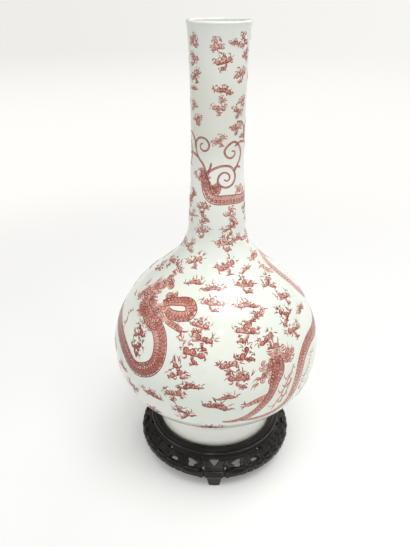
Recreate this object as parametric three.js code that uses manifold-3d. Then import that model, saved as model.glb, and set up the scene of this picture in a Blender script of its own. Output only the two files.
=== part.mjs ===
// A porcelain bottle vase with a globular body and a long neck, standing in a pierced and carved hardwood stand.
// Millimetres, +Z up. The origin is on the table, under the middle of the stand, and the front leg points to -Y.
import * as THREE from "three";
import { mergeVertices } from "three/addons/utils/BufferGeometryUtils.js";
import Module from "manifold-3d";

const wasm = await Module();
wasm.setup();

// Vase, outside. Heights are above the foot's edge.
const VASE_HEIGHT = 389;
const FOOT_RADIUS = 59.4;
const FOOT_TOP_RADIUS = 57.8;
const FOOT_HEIGHT = 24;
const BODY_RADIUS = 101.2;
const BODY_EQUATOR_HEIGHT = 97.5;
const SHOULDER_RADIUS = 68.4;
const SHOULDER_HEIGHT = 163.5;
const SHOULDER_SLOPE = 1.2;
const NECK_ROOT_RADIUS = 25.9;
const NECK_ROOT_HEIGHT = 220;
const NECK_RADIUS = 22.9;
const NECK_WAIST_HEIGHT = 292;
const MOUTH_RADIUS = 25.4;
const LIP_RADIUS = 1.4;

// Vase, inside
const BODY_WALL = 4.6;
const NECK_WALL = 3.6;
const BASE_THICKNESS = 6;
const FOOT_RING_WIDTH = 7;
const FOOT_HOLLOW_DEPTH = 12;

// Stand: the seat ring and its panel
const STAND_HEIGHT = 40.2;
const SEAT_DEPTH = 4.2;
const SEAT_CLEARANCE = 0.9;
const RING_RADIUS = 68.8;
const RING_HEIGHT = 7.2;
const RING_OPENING_RADIUS = 50;
const RING_SKIRT_RADIUS = 57;
const RING_SKIRT_HEIGHT = 3.4;
const PANEL_THICKNESS = 3;
const PANEL_LEDGE = 4;
const BEAD_RADIUS = 1;

// Stand: the apron. Heights are above the table.
const WAIST_RADIUS = 65.5;
const APRON_TOP_RADIUS = 66.7;
const APRON_TOP_HEIGHT = 28.5;
const APRON_KNEE_RADIUS = 76;
const APRON_KNEE_HEIGHT = 22.3;
const APRON_FOOT_HEIGHT = 14.4;
const APRON_HEAD_DEPTH = 7.3;
const APRON_THICKNESS = 6.5;
const RIM_RADIUS = 80.2;
const RIM_BAR_HEIGHT = 9.2;
const RIM_BAR_DEPTH = 8.5;

// Stand: the legs
const LEG_COUNT = 3;
const LEG_HEAD_WIDTH = 27.4;
const LEG_KNEE_WIDTH = 17.4;
const LEG_ANKLE_WIDTH = 14.6;
const LEG_FOOT_WIDTH = 10.6;
const LEG_FOOT_RADIUS = 75.6;
const LEG_FOOT_DEPTH = 8.6;
const KNEE_REACH = 0.3;
const KNEE_GROOVE = 1.2;
const TENON_WIDTH = 9;
const TENON_DEPTH = 3;
const TENON_HEIGHT = 4;
const TENON_INSET = 2.8;

// Stand: the pegs that hold the apron to the ring
const PEG_AZIMUTH = 30;
const PEG_RADIUS = 1.6;
const PEG_LENGTH = 9.2;
const PEG_INSET = 2.9;

const JOINT_GAP = 0.3;
const VASE_FACETS = 52;
const STAND_FACETS = 48;
const PEG_FACETS = 12;

const porcelain = new THREE.MeshStandardMaterial({ color: 0xe3e9e2, roughness: 0.12, metalness: 0 });
const hardwood = new THREE.MeshStandardMaterial({ color: 0x1d1815, roughness: 0.42, metalness: 0 });
const bamboo = new THREE.MeshStandardMaterial({ color: 0x9a7a4c, roughness: 0.7, metalness: 0 });

const part = new THREE.Group();
const degrees = THREE.MathUtils.degToRad;

function add(name, geometry, material) {
  const mesh = new THREE.Mesh(geometry, material);
  mesh.name = name;
  part.add(mesh);
  return mesh;
}

// A geometry as a solid that can be joined and cut.
function solidOf(geometry) {
  const loose = geometry.index ? geometry.toNonIndexed() : geometry.clone();
  loose.deleteAttribute("normal");
  loose.deleteAttribute("uv");
  const merged = mergeVertices(loose, 1e-4);
  return new wasm.Manifold(
    new wasm.Mesh({
      numProp: 3,
      vertProperties: merged.attributes.position.array,
      triVerts: new Uint32Array(merged.index.array),
    }),
  );
}

function geometryOf(solid) {
  const { vertProperties, triVerts } = solid.getMesh();
  const geometry = new THREE.BufferGeometry();
  geometry.setAttribute("position", new THREE.BufferAttribute(vertProperties, 3));
  geometry.setIndex(new THREE.BufferAttribute(triVerts, 1));
  geometry.computeVertexNormals();
  return geometry;
}

// A profile of [radius, height] pairs turned about the vertical axis. It runs up the outside.
function turned(profile, facets) {
  const points = profile.map(([radius, height]) => new THREE.Vector2(Math.max(radius, 0), height));
  return new THREE.LatheGeometry(points, facets).rotateX(Math.PI / 2);
}

// The steps along a cubic curve from start to end, without its first point.
function curve(start, startHandle, endHandle, end, steps) {
  const points = [start, startHandle, endHandle, end].map(([r, z]) => new THREE.Vector2(r, z));
  return new THREE.CubicBezierCurve(...points)
    .getPoints(steps)
    .slice(1)
    .map((p) => [p.x, p.y]);
}

// Part of a circle from one angle to another, in degrees, in the plane of the profile.
function arc(centreRadius, centreHeight, size, from, to, steps) {
  return Array.from({ length: steps + 1 }, (_, i) => {
    const angle = degrees(from + ((to - from) * i) / steps);
    return [centreRadius + size * Math.cos(angle), centreHeight + size * Math.sin(angle)];
  });
}

// An outline of [x, z] pairs as a plate that reaches from the axis towards -Y.
function frontPlate(outline, reach) {
  const shape = new THREE.Shape(outline.map(([x, z]) => new THREE.Vector2(x, z)));
  return new THREE.ExtrudeGeometry(shape, { depth: reach, bevelEnabled: false }).rotateX(Math.PI / 2);
}

function post(radius, azimuth, fromAxis, low, high) {
  const height = high - low;
  return new THREE.CylinderGeometry(radius, radius, height, PEG_FACETS)
    .rotateX(Math.PI / 2)
    .translate(0, -fromAxis, low + height / 2)
    .rotateZ(degrees(azimuth));
}

// The vase: one body of porcelain, thrown in sections that are luted together and glazed over.
// Its outline swells from the foot to the equator, turns in over the shoulder and runs up a long neck.
const vaseFoot = STAND_HEIGHT - SEAT_DEPTH;

function upperOutline(bodyInset, neckInset, steps) {
  const slope = Math.hypot(SHOULDER_SLOPE, 1);
  const inset = (bodyInset + neckInset) / 2;
  const equator = [BODY_RADIUS - bodyInset, vaseFoot + BODY_EQUATOR_HEIGHT];
  const shoulder = [
    SHOULDER_RADIUS - inset / slope,
    vaseFoot + SHOULDER_HEIGHT - (inset * SHOULDER_SLOPE) / slope,
  ];
  const neckRoot = [NECK_ROOT_RADIUS - neckInset, vaseFoot + NECK_ROOT_HEIGHT];
  const waist = [NECK_RADIUS - neckInset, vaseFoot + NECK_WAIST_HEIGHT];
  const lip = [MOUTH_RADIUS - (neckInset > 0 ? 2 * LIP_RADIUS : 0), vaseFoot + VASE_HEIGHT - LIP_RADIUS];
  const rise = shoulder[1] - equator[1];
  const neckRise = neckRoot[1] - shoulder[1];
  const flareRise = lip[1] - waist[1];
  const onSlope = (length) => [
    shoulder[0] - (length * SHOULDER_SLOPE) / slope,
    shoulder[1] + length / slope,
  ];
  return [
    equator,
    ...curve(equator, [equator[0], equator[1] + 0.47 * rise], onSlope(-0.12 * rise), shoulder, steps),
    ...curve(shoulder, onSlope(0.46 * neckRise), [neckRoot[0] + 0.5, neckRoot[1] - 0.42 * neckRise], neckRoot, steps),
    ...curve(neckRoot, [neckRoot[0] - 0.6, neckRoot[1] + 22], [waist[0], waist[1] - 34], waist, 3),
    ...curve(waist, [waist[0], waist[1] + 0.4 * flareRise], [lip[0] - 2.2, lip[1] - 8], lip, steps),
  ];
}

function vaseProfile() {
  const footTop = [FOOT_TOP_RADIUS, vaseFoot + FOOT_HEIGHT];
  const [equator, ...outside] = upperOutline(0, 0, 5);
  const [innerEquator, ...inside] = upperOutline(BODY_WALL, NECK_WALL, 3);
  const bellyRise = equator[1] - footTop[1];
  const belly = curve(
    footTop,
    [footTop[0] + 0.49 * (equator[0] - footTop[0]), footTop[1] + 0.3 * bellyRise],
    [equator[0], equator[1] - 0.6 * bellyRise],
    equator,
    8,
  );
  const floor = vaseFoot + FOOT_HOLLOW_DEPTH + BASE_THICKNESS;
  const innerRise = innerEquator[1] - floor;
  const innerBelly = curve(
    [0, floor],
    [1.1 * FOOT_TOP_RADIUS, floor],
    [innerEquator[0], innerEquator[1] - 0.63 * innerRise],
    innerEquator,
    6,
  );
  const footInside = FOOT_RADIUS - FOOT_RING_WIDTH;
  const hollow = vaseFoot + FOOT_HOLLOW_DEPTH;
  const lipCentre = [MOUTH_RADIUS - LIP_RADIUS, vaseFoot + VASE_HEIGHT - LIP_RADIUS];
  return [
    [0, hollow],
    [footInside - 3, hollow],
    [footInside, hollow - 3],
    [footInside + 1.5, vaseFoot],
    [FOOT_RADIUS - 1, vaseFoot],
    [FOOT_RADIUS, vaseFoot + 1],
    footTop,
    ...belly,
    ...outside,
    ...arc(...lipCentre, LIP_RADIUS, 30, 150, 4),
    ...inside.reverse(),
    innerEquator,
    ...innerBelly.reverse().slice(1),
    [0, floor],
  ];
}

add("vase", turned(vaseProfile(), VASE_FACETS), porcelain);

// The seat ring: a turned ring with a rebated seat for the vase's foot, a rounded outer moulding and a ledge
// that carries the seat panel. The legs' tenons and the pegs enter it from below.
const seatRadius = FOOT_RADIUS + SEAT_CLEARANCE;
const seatFloor = vaseFoot - JOINT_GAP;
const ringUnderside = STAND_HEIGHT - RING_HEIGHT;
const skirtUnderside = ringUnderside - RING_SKIRT_HEIGHT;
const ledgeHeight = seatFloor - PANEL_THICKNESS - JOINT_GAP;
const panelRadius = RING_OPENING_RADIUS + PANEL_LEDGE - JOINT_GAP;
const standJoint = ringUnderside - JOINT_GAP;
const tenonMiddle = WAIST_RADIUS - TENON_INSET;
const pegMiddle = WAIST_RADIUS - PEG_INSET;
const pegLow = ringUnderside - PEG_LENGTH / 2;
const pegHigh = pegLow + PEG_LENGTH;

const ringProfile = [
  [RING_OPENING_RADIUS, skirtUnderside],
  [RING_SKIRT_RADIUS, skirtUnderside],
  [RING_SKIRT_RADIUS, ringUnderside],
  [WAIST_RADIUS, ringUnderside],
  [RING_RADIUS - 1.3, ringUnderside + 1.4],
  ...arc(RING_RADIUS - BEAD_RADIUS, ringUnderside + 2.9, BEAD_RADIUS, -60, 60, 2),
  ...curve(
    [RING_RADIUS - BEAD_RADIUS, ringUnderside + 4],
    [RING_RADIUS - 1.8, STAND_HEIGHT - 1.2],
    [RING_RADIUS - 3.6, STAND_HEIGHT - 0.6],
    [seatRadius + 2 * BEAD_RADIUS, STAND_HEIGHT - 0.6],
    3,
  ),
  ...arc(seatRadius + BEAD_RADIUS, STAND_HEIGHT - BEAD_RADIUS, BEAD_RADIUS, 45, 180, 2),
  [seatRadius, seatFloor],
  [RING_OPENING_RADIUS + PANEL_LEDGE, seatFloor],
  [RING_OPENING_RADIUS + PANEL_LEDGE, ledgeHeight],
  [RING_OPENING_RADIUS, ledgeHeight],
  [RING_OPENING_RADIUS, skirtUnderside],
];

let seatRing = solidOf(turned(ringProfile, STAND_FACETS));
for (let leg = 0; leg < LEG_COUNT; leg += 1) {
  const turn = degrees((leg * 360) / LEG_COUNT);
  const mortise = new THREE.BoxGeometry(
    TENON_WIDTH + 2 * JOINT_GAP,
    TENON_DEPTH + 2 * JOINT_GAP,
    2 * (TENON_HEIGHT + JOINT_GAP),
  );
  mortise.translate(0, -tenonMiddle, standJoint).rotateZ(turn);
  seatRing = seatRing.subtract(solidOf(mortise));
  for (const side of [-1, 1]) {
    const hole = post(PEG_RADIUS + JOINT_GAP, side * PEG_AZIMUTH, pegMiddle, pegLow, pegHigh + JOINT_GAP);
    seatRing = seatRing.subtract(solidOf(hole.rotateZ(turn)));
  }
}
add("seat_ring", geometryOf(seatRing), hardwood);

// The seat panel: a thin board that lies loose on the ring's ledge, so that it can shrink without splitting.
const panelProfile = [
  [0, seatFloor - PANEL_THICKNESS],
  [panelRadius, seatFloor - PANEL_THICKNESS],
  [panelRadius, seatFloor],
  [0, seatFloor],
];
add("seat_panel", turned(panelProfile, STAND_FACETS), hardwood);

// The apron's slope runs from its top edge out to the knee line. The patterns on it are measured in millimetres
// across and down from the middle of its top edge.
const slopeDown = new THREE.Vector2(APRON_KNEE_RADIUS - APRON_TOP_RADIUS, APRON_KNEE_HEIGHT - APRON_TOP_HEIGHT);
slopeDown.normalize();

// The point behind a point of the slope, through the apron's thickness.
function behind(radius, height) {
  return [radius + APRON_THICKNESS * slopeDown.y, height - APRON_THICKNESS * slopeDown.x];
}

// The hidden side of an apron or a leg, from the knee up to the flat top that meets the ring.
const innerKnee = behind(APRON_KNEE_RADIUS, APRON_KNEE_HEIGHT);
const innerTop = behind(APRON_TOP_RADIUS, APRON_TOP_HEIGHT);
const headInside = WAIST_RADIUS - APRON_HEAD_DEPTH;
const innerWall = [innerKnee, innerTop, [headInside, innerTop[1] + 2.4], [headInside, standJoint]];
const outerHead = [
  [APRON_KNEE_RADIUS, APRON_KNEE_HEIGHT],
  [APRON_TOP_RADIUS, APRON_TOP_HEIGHT],
  [WAIST_RADIUS, APRON_TOP_HEIGHT + 1.2],
  [WAIST_RADIUS, standJoint],
];

// A prism square to the apron's slope, at an azimuth in degrees from the front.
function piercing(azimuth, outline) {
  const shape = new THREE.Shape(outline.map(([across, down]) => new THREE.Vector2(across, -down)));
  const reach = 2 * APRON_THICKNESS;
  const across = new THREE.Vector3(1, 0, 0);
  const up = new THREE.Vector3(0, slopeDown.x, -slopeDown.y);
  const out = new THREE.Vector3().crossVectors(across, up);
  const place = new THREE.Matrix4().makeBasis(across, up, out);
  place.setPosition(0, -APRON_TOP_RADIUS, APRON_TOP_HEIGHT);
  return new THREE.ExtrudeGeometry(shape, { depth: 2 * reach, bevelEnabled: false })
    .translate(0, 0, -reach)
    .applyMatrix4(place)
    .rotateZ(degrees(azimuth));
}

// The leg, seen from the front: a wide head that narrows to the knee, the knee block, and a tapering foot.
function legOutline(grow) {
  const halves = [
    [LEG_FOOT_WIDTH, grow > 0 ? -grow : 0],
    [LEG_ANKLE_WIDTH, APRON_FOOT_HEIGHT - 1.4],
    [LEG_KNEE_WIDTH, APRON_FOOT_HEIGHT - 0.2],
    [LEG_KNEE_WIDTH, APRON_KNEE_HEIGHT + 1.3],
    [LEG_HEAD_WIDTH, standJoint + grow],
  ].map(([width, height]) => [width / 2 + grow, height]);
  return [...halves, ...halves.map(([half, height]) => [-half, height]).reverse()];
}

// The apron: a pierced ring segment between two legs. A shell with a sloping face is cut to the legs' edges,
// the scroll openings are sawn through it, and bars and knobs are left standing along its rim.
const rimBack = RIM_RADIUS - 1.9;
const rimInside = innerKnee[0] + 0.9;
const apronProfile = [
  [rimInside, APRON_FOOT_HEIGHT],
  [rimBack - 1.2, APRON_FOOT_HEIGHT],
  [rimBack, APRON_FOOT_HEIGHT + 2.4],
  [rimBack - 0.2, APRON_KNEE_HEIGHT - 1.8],
  ...outerHead,
  ...[...innerWall].reverse(),
  [rimInside, APRON_FOOT_HEIGHT],
];

// Openings at one end of the apron, by azimuth from the leg. The other end mirrors them.
const OPENINGS = [
  { azimuth: 8.5, outline: [[-1.7, 10.6], [-0.4, 7.8], [1.6, 7.5], [1.9, 9.4], [0.6, 10.8], [-1, 11.1]] },
  {
    azimuth: 18.5,
    outline: [[6.8, 2.2], [1.9, 2.6], [-6.8, 5.6], [-3.4, 7.2], [-3.2, 9.8], [2.6, 10.2], [4.2, 8], [3.9, 5.4]],
  },
  { azimuth: 34, outline: [[5.6, 9.3], [3.7, 7.5], [0.6, 6.5], [-4.3, 7], [-5.5, 8.7], [-3.7, 9.8], [2.5, 9.8]] },
  { azimuth: 41.7, outline: [[-3.4, 0.2], [3.3, 0.2], [2.6, 2.4], [1, 4.2]] },
];
const LEG_OPENING = [[-5.9, 0.2], [5.9, 0.2], [0.8, 7], [-0.8, 7]];

// Bars, knobs and scroll ends along the rim, by the azimuths where each starts and ends, up to the middle.
const RIM_PIECES = [
  { from: 10.5, to: 24.8, size: 1 },
  { from: 25.6, to: 30.4, size: 0.84 },
  { from: 31, to: 39.8, size: 0.96 },
  { from: 40.6, to: 51.2, size: 1 },
  { from: 52.2, to: 59.8, size: 0.9 },
];

// A bar with round ends, bent along the rim.
function rimBar(from, to, size) {
  const middleRadius = RIM_RADIUS - RIM_BAR_DEPTH / 2;
  const middleHeight = APRON_FOOT_HEIGHT + RIM_BAR_HEIGHT / 2;
  const length = degrees(to - from) * middleRadius;
  const cap = Math.min((size * RIM_BAR_HEIGHT) / 2, length / 2 - 0.1);
  const straight = length - 2 * cap;
  const rings = Math.max(1, Math.round(straight / 7));
  const bar = new THREE.CapsuleGeometry(cap, straight, 2, 6, rings);
  const position = bar.attributes.position;
  for (let i = 0; i < position.count; i += 1) {
    const azimuth = degrees((from + to) / 2) + position.getY(i) / middleRadius;
    const radius = middleRadius + (position.getX(i) / cap) * (size * RIM_BAR_DEPTH) / 2;
    const height = middleHeight + (position.getZ(i) / cap) * (size * RIM_BAR_HEIGHT) / 2;
    position.setXYZ(i, radius * Math.sin(azimuth), -radius * Math.cos(azimuth), height);
  }
  return bar;
}

// A wedge about the axis between two azimuths, as tall as the stand.
function wedge(from, to) {
  const shape = new THREE.Shape();
  shape.moveTo(0, 0);
  shape.absarc(0, 0, 2 * RING_RADIUS, degrees(from - 90), degrees(to - 90), false);
  shape.lineTo(0, 0);
  return new THREE.ExtrudeGeometry(shape, { depth: STAND_HEIGHT, bevelEnabled: false, curveSegments: 6 });
}

const span = 360 / LEG_COUNT;
const legSpace = solidOf(frontPlate(legOutline(JOINT_GAP), 2 * RING_RADIUS));
let apron = solidOf(turned(apronProfile, STAND_FACETS)).intersect(solidOf(wedge(0, span)));
for (const { from, to, size } of RIM_PIECES) {
  apron = apron.add(solidOf(rimBar(from, to, size)));
  apron = apron.add(solidOf(rimBar(span - to, span - from, size)));
}
apron = apron.subtract(legSpace).subtract(legSpace.rotate([0, 0, span]));
for (const { azimuth, outline } of OPENINGS) {
  const mirrored = outline.map(([across, down]) => [-across, down]);
  apron = apron.subtract(solidOf(piercing(azimuth, outline)));
  apron = apron.subtract(solidOf(piercing(span - azimuth, mirrored)));
}
for (const azimuth of [PEG_AZIMUTH, span - PEG_AZIMUTH]) {
  const hole = post(PEG_RADIUS + JOINT_GAP, azimuth, pegMiddle, pegLow - JOINT_GAP, STAND_HEIGHT);
  apron = apron.subtract(solidOf(hole));
}

// The leg: its head is part of the apron's slope, the knee block stands out in stepped ridges below it, and the
// foot runs down to the table. A tenon on its head enters the ring.
const kneeRadius = RIM_RADIUS + KNEE_REACH;
const tenonTop = standJoint + TENON_HEIGHT;
const legProfile = [
  [LEG_FOOT_RADIUS - LEG_FOOT_DEPTH, 0],
  [LEG_FOOT_RADIUS - 0.6, 0],
  [LEG_FOOT_RADIUS, 0.6],
  [kneeRadius - 2, APRON_FOOT_HEIGHT - 1.4],
  [kneeRadius - 1, APRON_FOOT_HEIGHT - 0.2],
  [kneeRadius, APRON_FOOT_HEIGHT + 1.4],
  [kneeRadius - 0.1, APRON_FOOT_HEIGHT + 2.6],
  [kneeRadius - KNEE_GROOVE, APRON_FOOT_HEIGHT + 3.1],
  [kneeRadius - KNEE_GROOVE, APRON_FOOT_HEIGHT + 3.8],
  [kneeRadius - 0.2, APRON_FOOT_HEIGHT + 4.3],
  [kneeRadius - 0.6, APRON_KNEE_HEIGHT - 0.6],
  [kneeRadius - 1.4, APRON_KNEE_HEIGHT + 0.3],
  [kneeRadius - 2.6, APRON_KNEE_HEIGHT + 0.3],
  [kneeRadius - 2.6, APRON_KNEE_HEIGHT - 0.3],
  [APRON_KNEE_RADIUS + 1, APRON_KNEE_HEIGHT - 0.3],
  [APRON_KNEE_RADIUS + 0.8, APRON_KNEE_HEIGHT + 1],
  [APRON_KNEE_RADIUS - 0.6, APRON_KNEE_HEIGHT + 1.2],
  [APRON_KNEE_RADIUS - 0.9, APRON_KNEE_HEIGHT + 0.6],
  ...outerHead.slice(1),
  [tenonMiddle + TENON_DEPTH / 2, standJoint],
  [tenonMiddle + TENON_DEPTH / 2, tenonTop],
  [tenonMiddle - TENON_DEPTH / 2, tenonTop],
  [tenonMiddle - TENON_DEPTH / 2, standJoint],
  ...[...innerWall].reverse(),
  [LEG_FOOT_RADIUS - LEG_FOOT_DEPTH, 0],
];
const tenonOutline = [
  [-TENON_WIDTH / 2, standJoint - 1],
  [TENON_WIDTH / 2, standJoint - 1],
  [TENON_WIDTH / 2, tenonTop],
  [-TENON_WIDTH / 2, tenonTop],
];
const legFace = solidOf(frontPlate(legOutline(0), 2 * RING_RADIUS));
const tenonFace = solidOf(frontPlate(tenonOutline, 2 * RING_RADIUS));
const leg = solidOf(turned(legProfile, STAND_FACETS))
  .intersect(legFace.add(tenonFace))
  .subtract(solidOf(piercing(0, LEG_OPENING)));

const LEG_NAMES = ["leg_front", "leg_right", "leg_left"];
const APRON_NAMES = ["apron_right", "apron_back", "apron_left"];
for (let i = 0; i < LEG_COUNT; i += 1) {
  const turn = degrees(i * span);
  add(LEG_NAMES[i], geometryOf(leg), hardwood).rotation.z = turn;
  add(APRON_NAMES[i], geometryOf(apron), hardwood).rotation.z = turn;
  for (const [end, azimuth] of [["a", PEG_AZIMUTH], ["b", span - PEG_AZIMUTH]]) {
    const peg = post(PEG_RADIUS, azimuth, pegMiddle, pegLow, pegHigh);
    add(`peg_${APRON_NAMES[i]}_${end}`, peg, bamboo).rotation.z = turn;
  }
}

export default part;
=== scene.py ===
"""A porcelain bottle vase painted with iron-red dragons and clouds, on a pierced hardwood stand.

Sizes are in millimetres, and MM turns them into metres, in which the shaders, lamps and camera are given.
+Z is up and the stand's front leg points to -Y. An azimuth is in degrees from the front, positive to the
right of someone who looks at the front.
"""

import bmesh
import bpy
import numpy as np
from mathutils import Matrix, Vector


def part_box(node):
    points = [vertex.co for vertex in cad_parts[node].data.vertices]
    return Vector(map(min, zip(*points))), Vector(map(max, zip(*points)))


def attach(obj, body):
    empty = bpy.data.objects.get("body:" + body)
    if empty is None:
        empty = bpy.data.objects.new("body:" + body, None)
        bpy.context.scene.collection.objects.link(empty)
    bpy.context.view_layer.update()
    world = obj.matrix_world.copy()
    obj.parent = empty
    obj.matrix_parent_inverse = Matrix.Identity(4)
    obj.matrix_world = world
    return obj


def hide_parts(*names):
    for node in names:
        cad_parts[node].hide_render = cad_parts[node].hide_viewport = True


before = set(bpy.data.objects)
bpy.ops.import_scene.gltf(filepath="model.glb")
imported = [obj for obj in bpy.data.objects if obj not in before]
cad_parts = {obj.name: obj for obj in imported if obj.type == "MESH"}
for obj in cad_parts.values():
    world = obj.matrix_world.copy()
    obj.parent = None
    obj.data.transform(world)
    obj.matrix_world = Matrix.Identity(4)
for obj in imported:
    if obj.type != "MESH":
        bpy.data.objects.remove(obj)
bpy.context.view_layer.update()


# The vase is thrown porcelain, glazed inside and out except on the edge of its foot ring, where the pale
# body shows. Its outline swells from the foot to the equator, turns in at the shoulder and runs up a long
# neck.
MM = 0.001
VASE_COLUMNS = 256
BODY_RADIUS = 101.2
EQUATOR_HEIGHT = 97.5
SHOULDER_RADIUS = 68.4
SHOULDER_HEIGHT = 163.5
SHOULDER_SLOPE = 1.2
NECK_ROOT_RADIUS = 25.9
NECK_ROOT_HEIGHT = 220
NECK_RADIUS = 22.9
NECK_WAIST_HEIGHT = 292
MOUTH_RADIUS = 26
LIP_RADIUS = 1.4
BODY_WALL = 4.6
NECK_WALL = 3.6
FOOT_RADIUS = 59.4
FOOT_TOP_RADIUS = 57.8
FOOT_HEIGHT = 24
FOOT_RING_WIDTH = 7
FOOT_HOLLOW_DEPTH = 12
BASE_THICKNESS = 6
BODY_HANDLES = (0.47, 0.12)
SHOULDER_HANDLES = (0.46, 0.42)
BELLY_HANDLES = ((0.49, 0.3), 0.6)
FLOOR_HANDLES = (1.1, 0.63)

vase_low, vase_high = (corner.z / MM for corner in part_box("vase"))


def bezier(start, start_handle, end_handle, end, steps):
    """Steps along a cubic curve: a(1-t)^3 + 3b(1-t)^2 t + 3c(1-t)t^2 + dt^3 for t above 0 and up to 1."""
    t = np.linspace(0, 1, steps + 1)[1:, None]
    a, b, c, d = (np.array(point, float) for point in (start, start_handle, end_handle, end))
    return a * (1 - t) ** 3 + 3 * b * (1 - t) ** 2 * t + 3 * c * (1 - t) * t**2 + d * t**3


def round_edge(centre, size, start, end, steps):
    """Part of a circle about a centre of (radius, height), from one angle to another in degrees."""
    angle = np.radians(np.linspace(start, end, steps + 1))
    return np.stack([centre[0] + size * np.cos(angle), centre[1] + size * np.sin(angle)], -1)


def upper_outline(body_inset, neck_inset, steps):
    """Radii and heights in millimetres from the equator to the lip, set in by the wall's thickness."""
    slope = np.hypot(SHOULDER_SLOPE, 1)
    inset = (body_inset + neck_inset) / 2
    down_slope = np.array([SHOULDER_SLOPE, -1]) / slope
    equator = np.array([BODY_RADIUS - body_inset, vase_low + EQUATOR_HEIGHT])
    shoulder = np.array([SHOULDER_RADIUS, vase_low + SHOULDER_HEIGHT])
    shoulder = shoulder - inset * np.array([1, SHOULDER_SLOPE]) / slope
    root = np.array([NECK_ROOT_RADIUS - neck_inset, vase_low + NECK_ROOT_HEIGHT])
    waist = np.array([NECK_RADIUS - neck_inset, vase_low + NECK_WAIST_HEIGHT])
    lip = np.array([MOUTH_RADIUS - (2 * LIP_RADIUS if neck_inset else 0), vase_high - LIP_RADIUS])
    rise = shoulder[1] - equator[1]
    neck_rise = root[1] - shoulder[1]
    flare_rise = lip[1] - waist[1]
    body_start = equator + (0, BODY_HANDLES[0] * rise)
    body_end = shoulder + BODY_HANDLES[1] * rise * down_slope
    neck_start = shoulder - SHOULDER_HANDLES[0] * neck_rise * down_slope
    neck_end = root + (0.5, -SHOULDER_HANDLES[1] * neck_rise)
    return np.concatenate([
        equator[None],
        bezier(equator, body_start, body_end, shoulder, steps),
        bezier(shoulder, neck_start, neck_end, root, steps),
        bezier(root, root + (-0.6, 22), waist - (0, 34), waist, steps // 2),
        bezier(waist, waist + (0, 0.4 * flare_rise), lip - (2.4, 6.5), lip, steps),
    ])


equator_point = np.array([BODY_RADIUS, vase_low + EQUATOR_HEIGHT])
foot_top = np.array([FOOT_TOP_RADIUS, vase_low + FOOT_HEIGHT])
belly_span = equator_point - foot_top
belly = bezier(
    foot_top,
    foot_top + belly_span * BELLY_HANDLES[0],
    equator_point - (0, BELLY_HANDLES[1] * belly_span[1]),
    equator_point,
    44,
)
foot_wall = np.linspace([FOOT_RADIUS, vase_low + 1], foot_top, 12)
glaze_outline = np.concatenate([foot_wall, belly[:-1], upper_outline(0, 0, 40)])
inner_outline = upper_outline(BODY_WALL, NECK_WALL, 14)
hollow_height = vase_low + FOOT_HOLLOW_DEPTH
floor_height = hollow_height + BASE_THICKNESS
foot_inside = FOOT_RADIUS - FOOT_RING_WIDTH
floor_curve = bezier(
    (0, floor_height),
    (FLOOR_HANDLES[0] * FOOT_TOP_RADIUS, floor_height),
    inner_outline[0] - (0, FLOOR_HANDLES[1] * (inner_outline[0][1] - floor_height)),
    inner_outline[0],
    16,
)
vase_section = np.concatenate([
    [(0, hollow_height), (0.5 * foot_inside, hollow_height)],
    bezier((foot_inside - 4, hollow_height), (foot_inside - 1, hollow_height),
           (foot_inside, hollow_height - 1), (foot_inside, hollow_height - 4), 6),
    [(foot_inside + 1.2, vase_low + 1.2), (foot_inside + 2, vase_low + 0.1), (foot_inside + 3, vase_low)],
    round_edge((FOOT_RADIUS - 1, vase_low + 1), 1, -90, -15, 4),
    glaze_outline[:-1],
    round_edge((MOUTH_RADIUS - LIP_RADIUS, vase_high - LIP_RADIUS), LIP_RADIUS, 0, 180, 12),
    inner_outline[::-1][1:],
    floor_curve[::-1][1:],
    [(0, floor_height)],
])


def put_in_scene(name, data):
    """A new object of this name at the origin, which shows a mesh, a light or a camera."""
    made = bpy.data.objects.new(name, data)
    bpy.context.scene.collection.objects.link(made)
    return made


def mesh_piece(name, points, faces, material, body, slot):
    """A smooth mesh in a material, which rides on a body. The slot is not used."""
    mesh = bpy.data.meshes.new(name)
    mesh.from_pydata(np.asarray(points, float).tolist(), [], [list(face) for face in faces])
    mesh.polygons.foreach_set("use_smooth", [True] * len(mesh.polygons))
    mesh.materials.append(material)
    mesh.update()
    piece = put_in_scene(name, mesh)
    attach(piece, body)
    return piece


def turned_surface(section, columns):
    """Points and faces of a section of radii and heights, in millimetres, turned about the axis.

    The point at step i and column j lies at radius r_i and height z_i, at azimuth 2 pi j / columns. A step
    whose radius is zero is one point, and a section that ends where it starts closes on itself.
    """
    section = np.asarray(section, float) * MM
    closed = np.allclose(section[0], section[-1])
    rows = section[:-1] if closed else section
    azimuth = np.arange(columns) * 2 * np.pi / columns
    points = []
    row_index = []
    for radius, height in rows:
        start = len(points)
        if radius == 0:
            points.append((0, 0, height))
            row_index.append(np.full(columns, start))
            continue
        row = [radius * np.sin(azimuth), -radius * np.cos(azimuth), np.full(columns, height)]
        points.extend(np.stack(row, -1))
        row_index.append(start + np.arange(columns))
    pairs = list(zip(row_index, row_index[1:]))
    if closed:
        pairs.append((row_index[-1], row_index[0]))
    faces = []
    for low, high in pairs:
        quads = np.stack([low, np.roll(low, -1), np.roll(high, -1), high], -1)
        if low[0] == low[1]:
            quads = quads[:, [0, 2, 3]]
        elif high[0] == high[1]:
            quads = quads[:, :3]
        faces.extend(quads.tolist())
    return np.array(points), faces


def srgb(red, green, blue):
    """A display colour from 0 to 255 as the linear colour that a shader takes."""
    value = np.array([red, green, blue]) / 255
    linear = np.where(value <= 0.04045, value / 12.92, ((value + 0.055) / 1.055) ** 2.4)
    return (*linear.tolist(), 1.0)


def new_finish(name, roughness, **sockets):
    """A material with a plain shader, its node tree, and a function that feeds an output to a socket."""
    material = bpy.data.materials.new(name)
    material.use_nodes = True
    tree = material.node_tree
    surface = tree.nodes["Principled BSDF"].inputs
    surface["Roughness"].default_value = roughness
    for socket, value in sockets.items():
        surface[socket].default_value = value
    return material, tree, lambda socket, output: tree.links.new(output, surface[socket])


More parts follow.
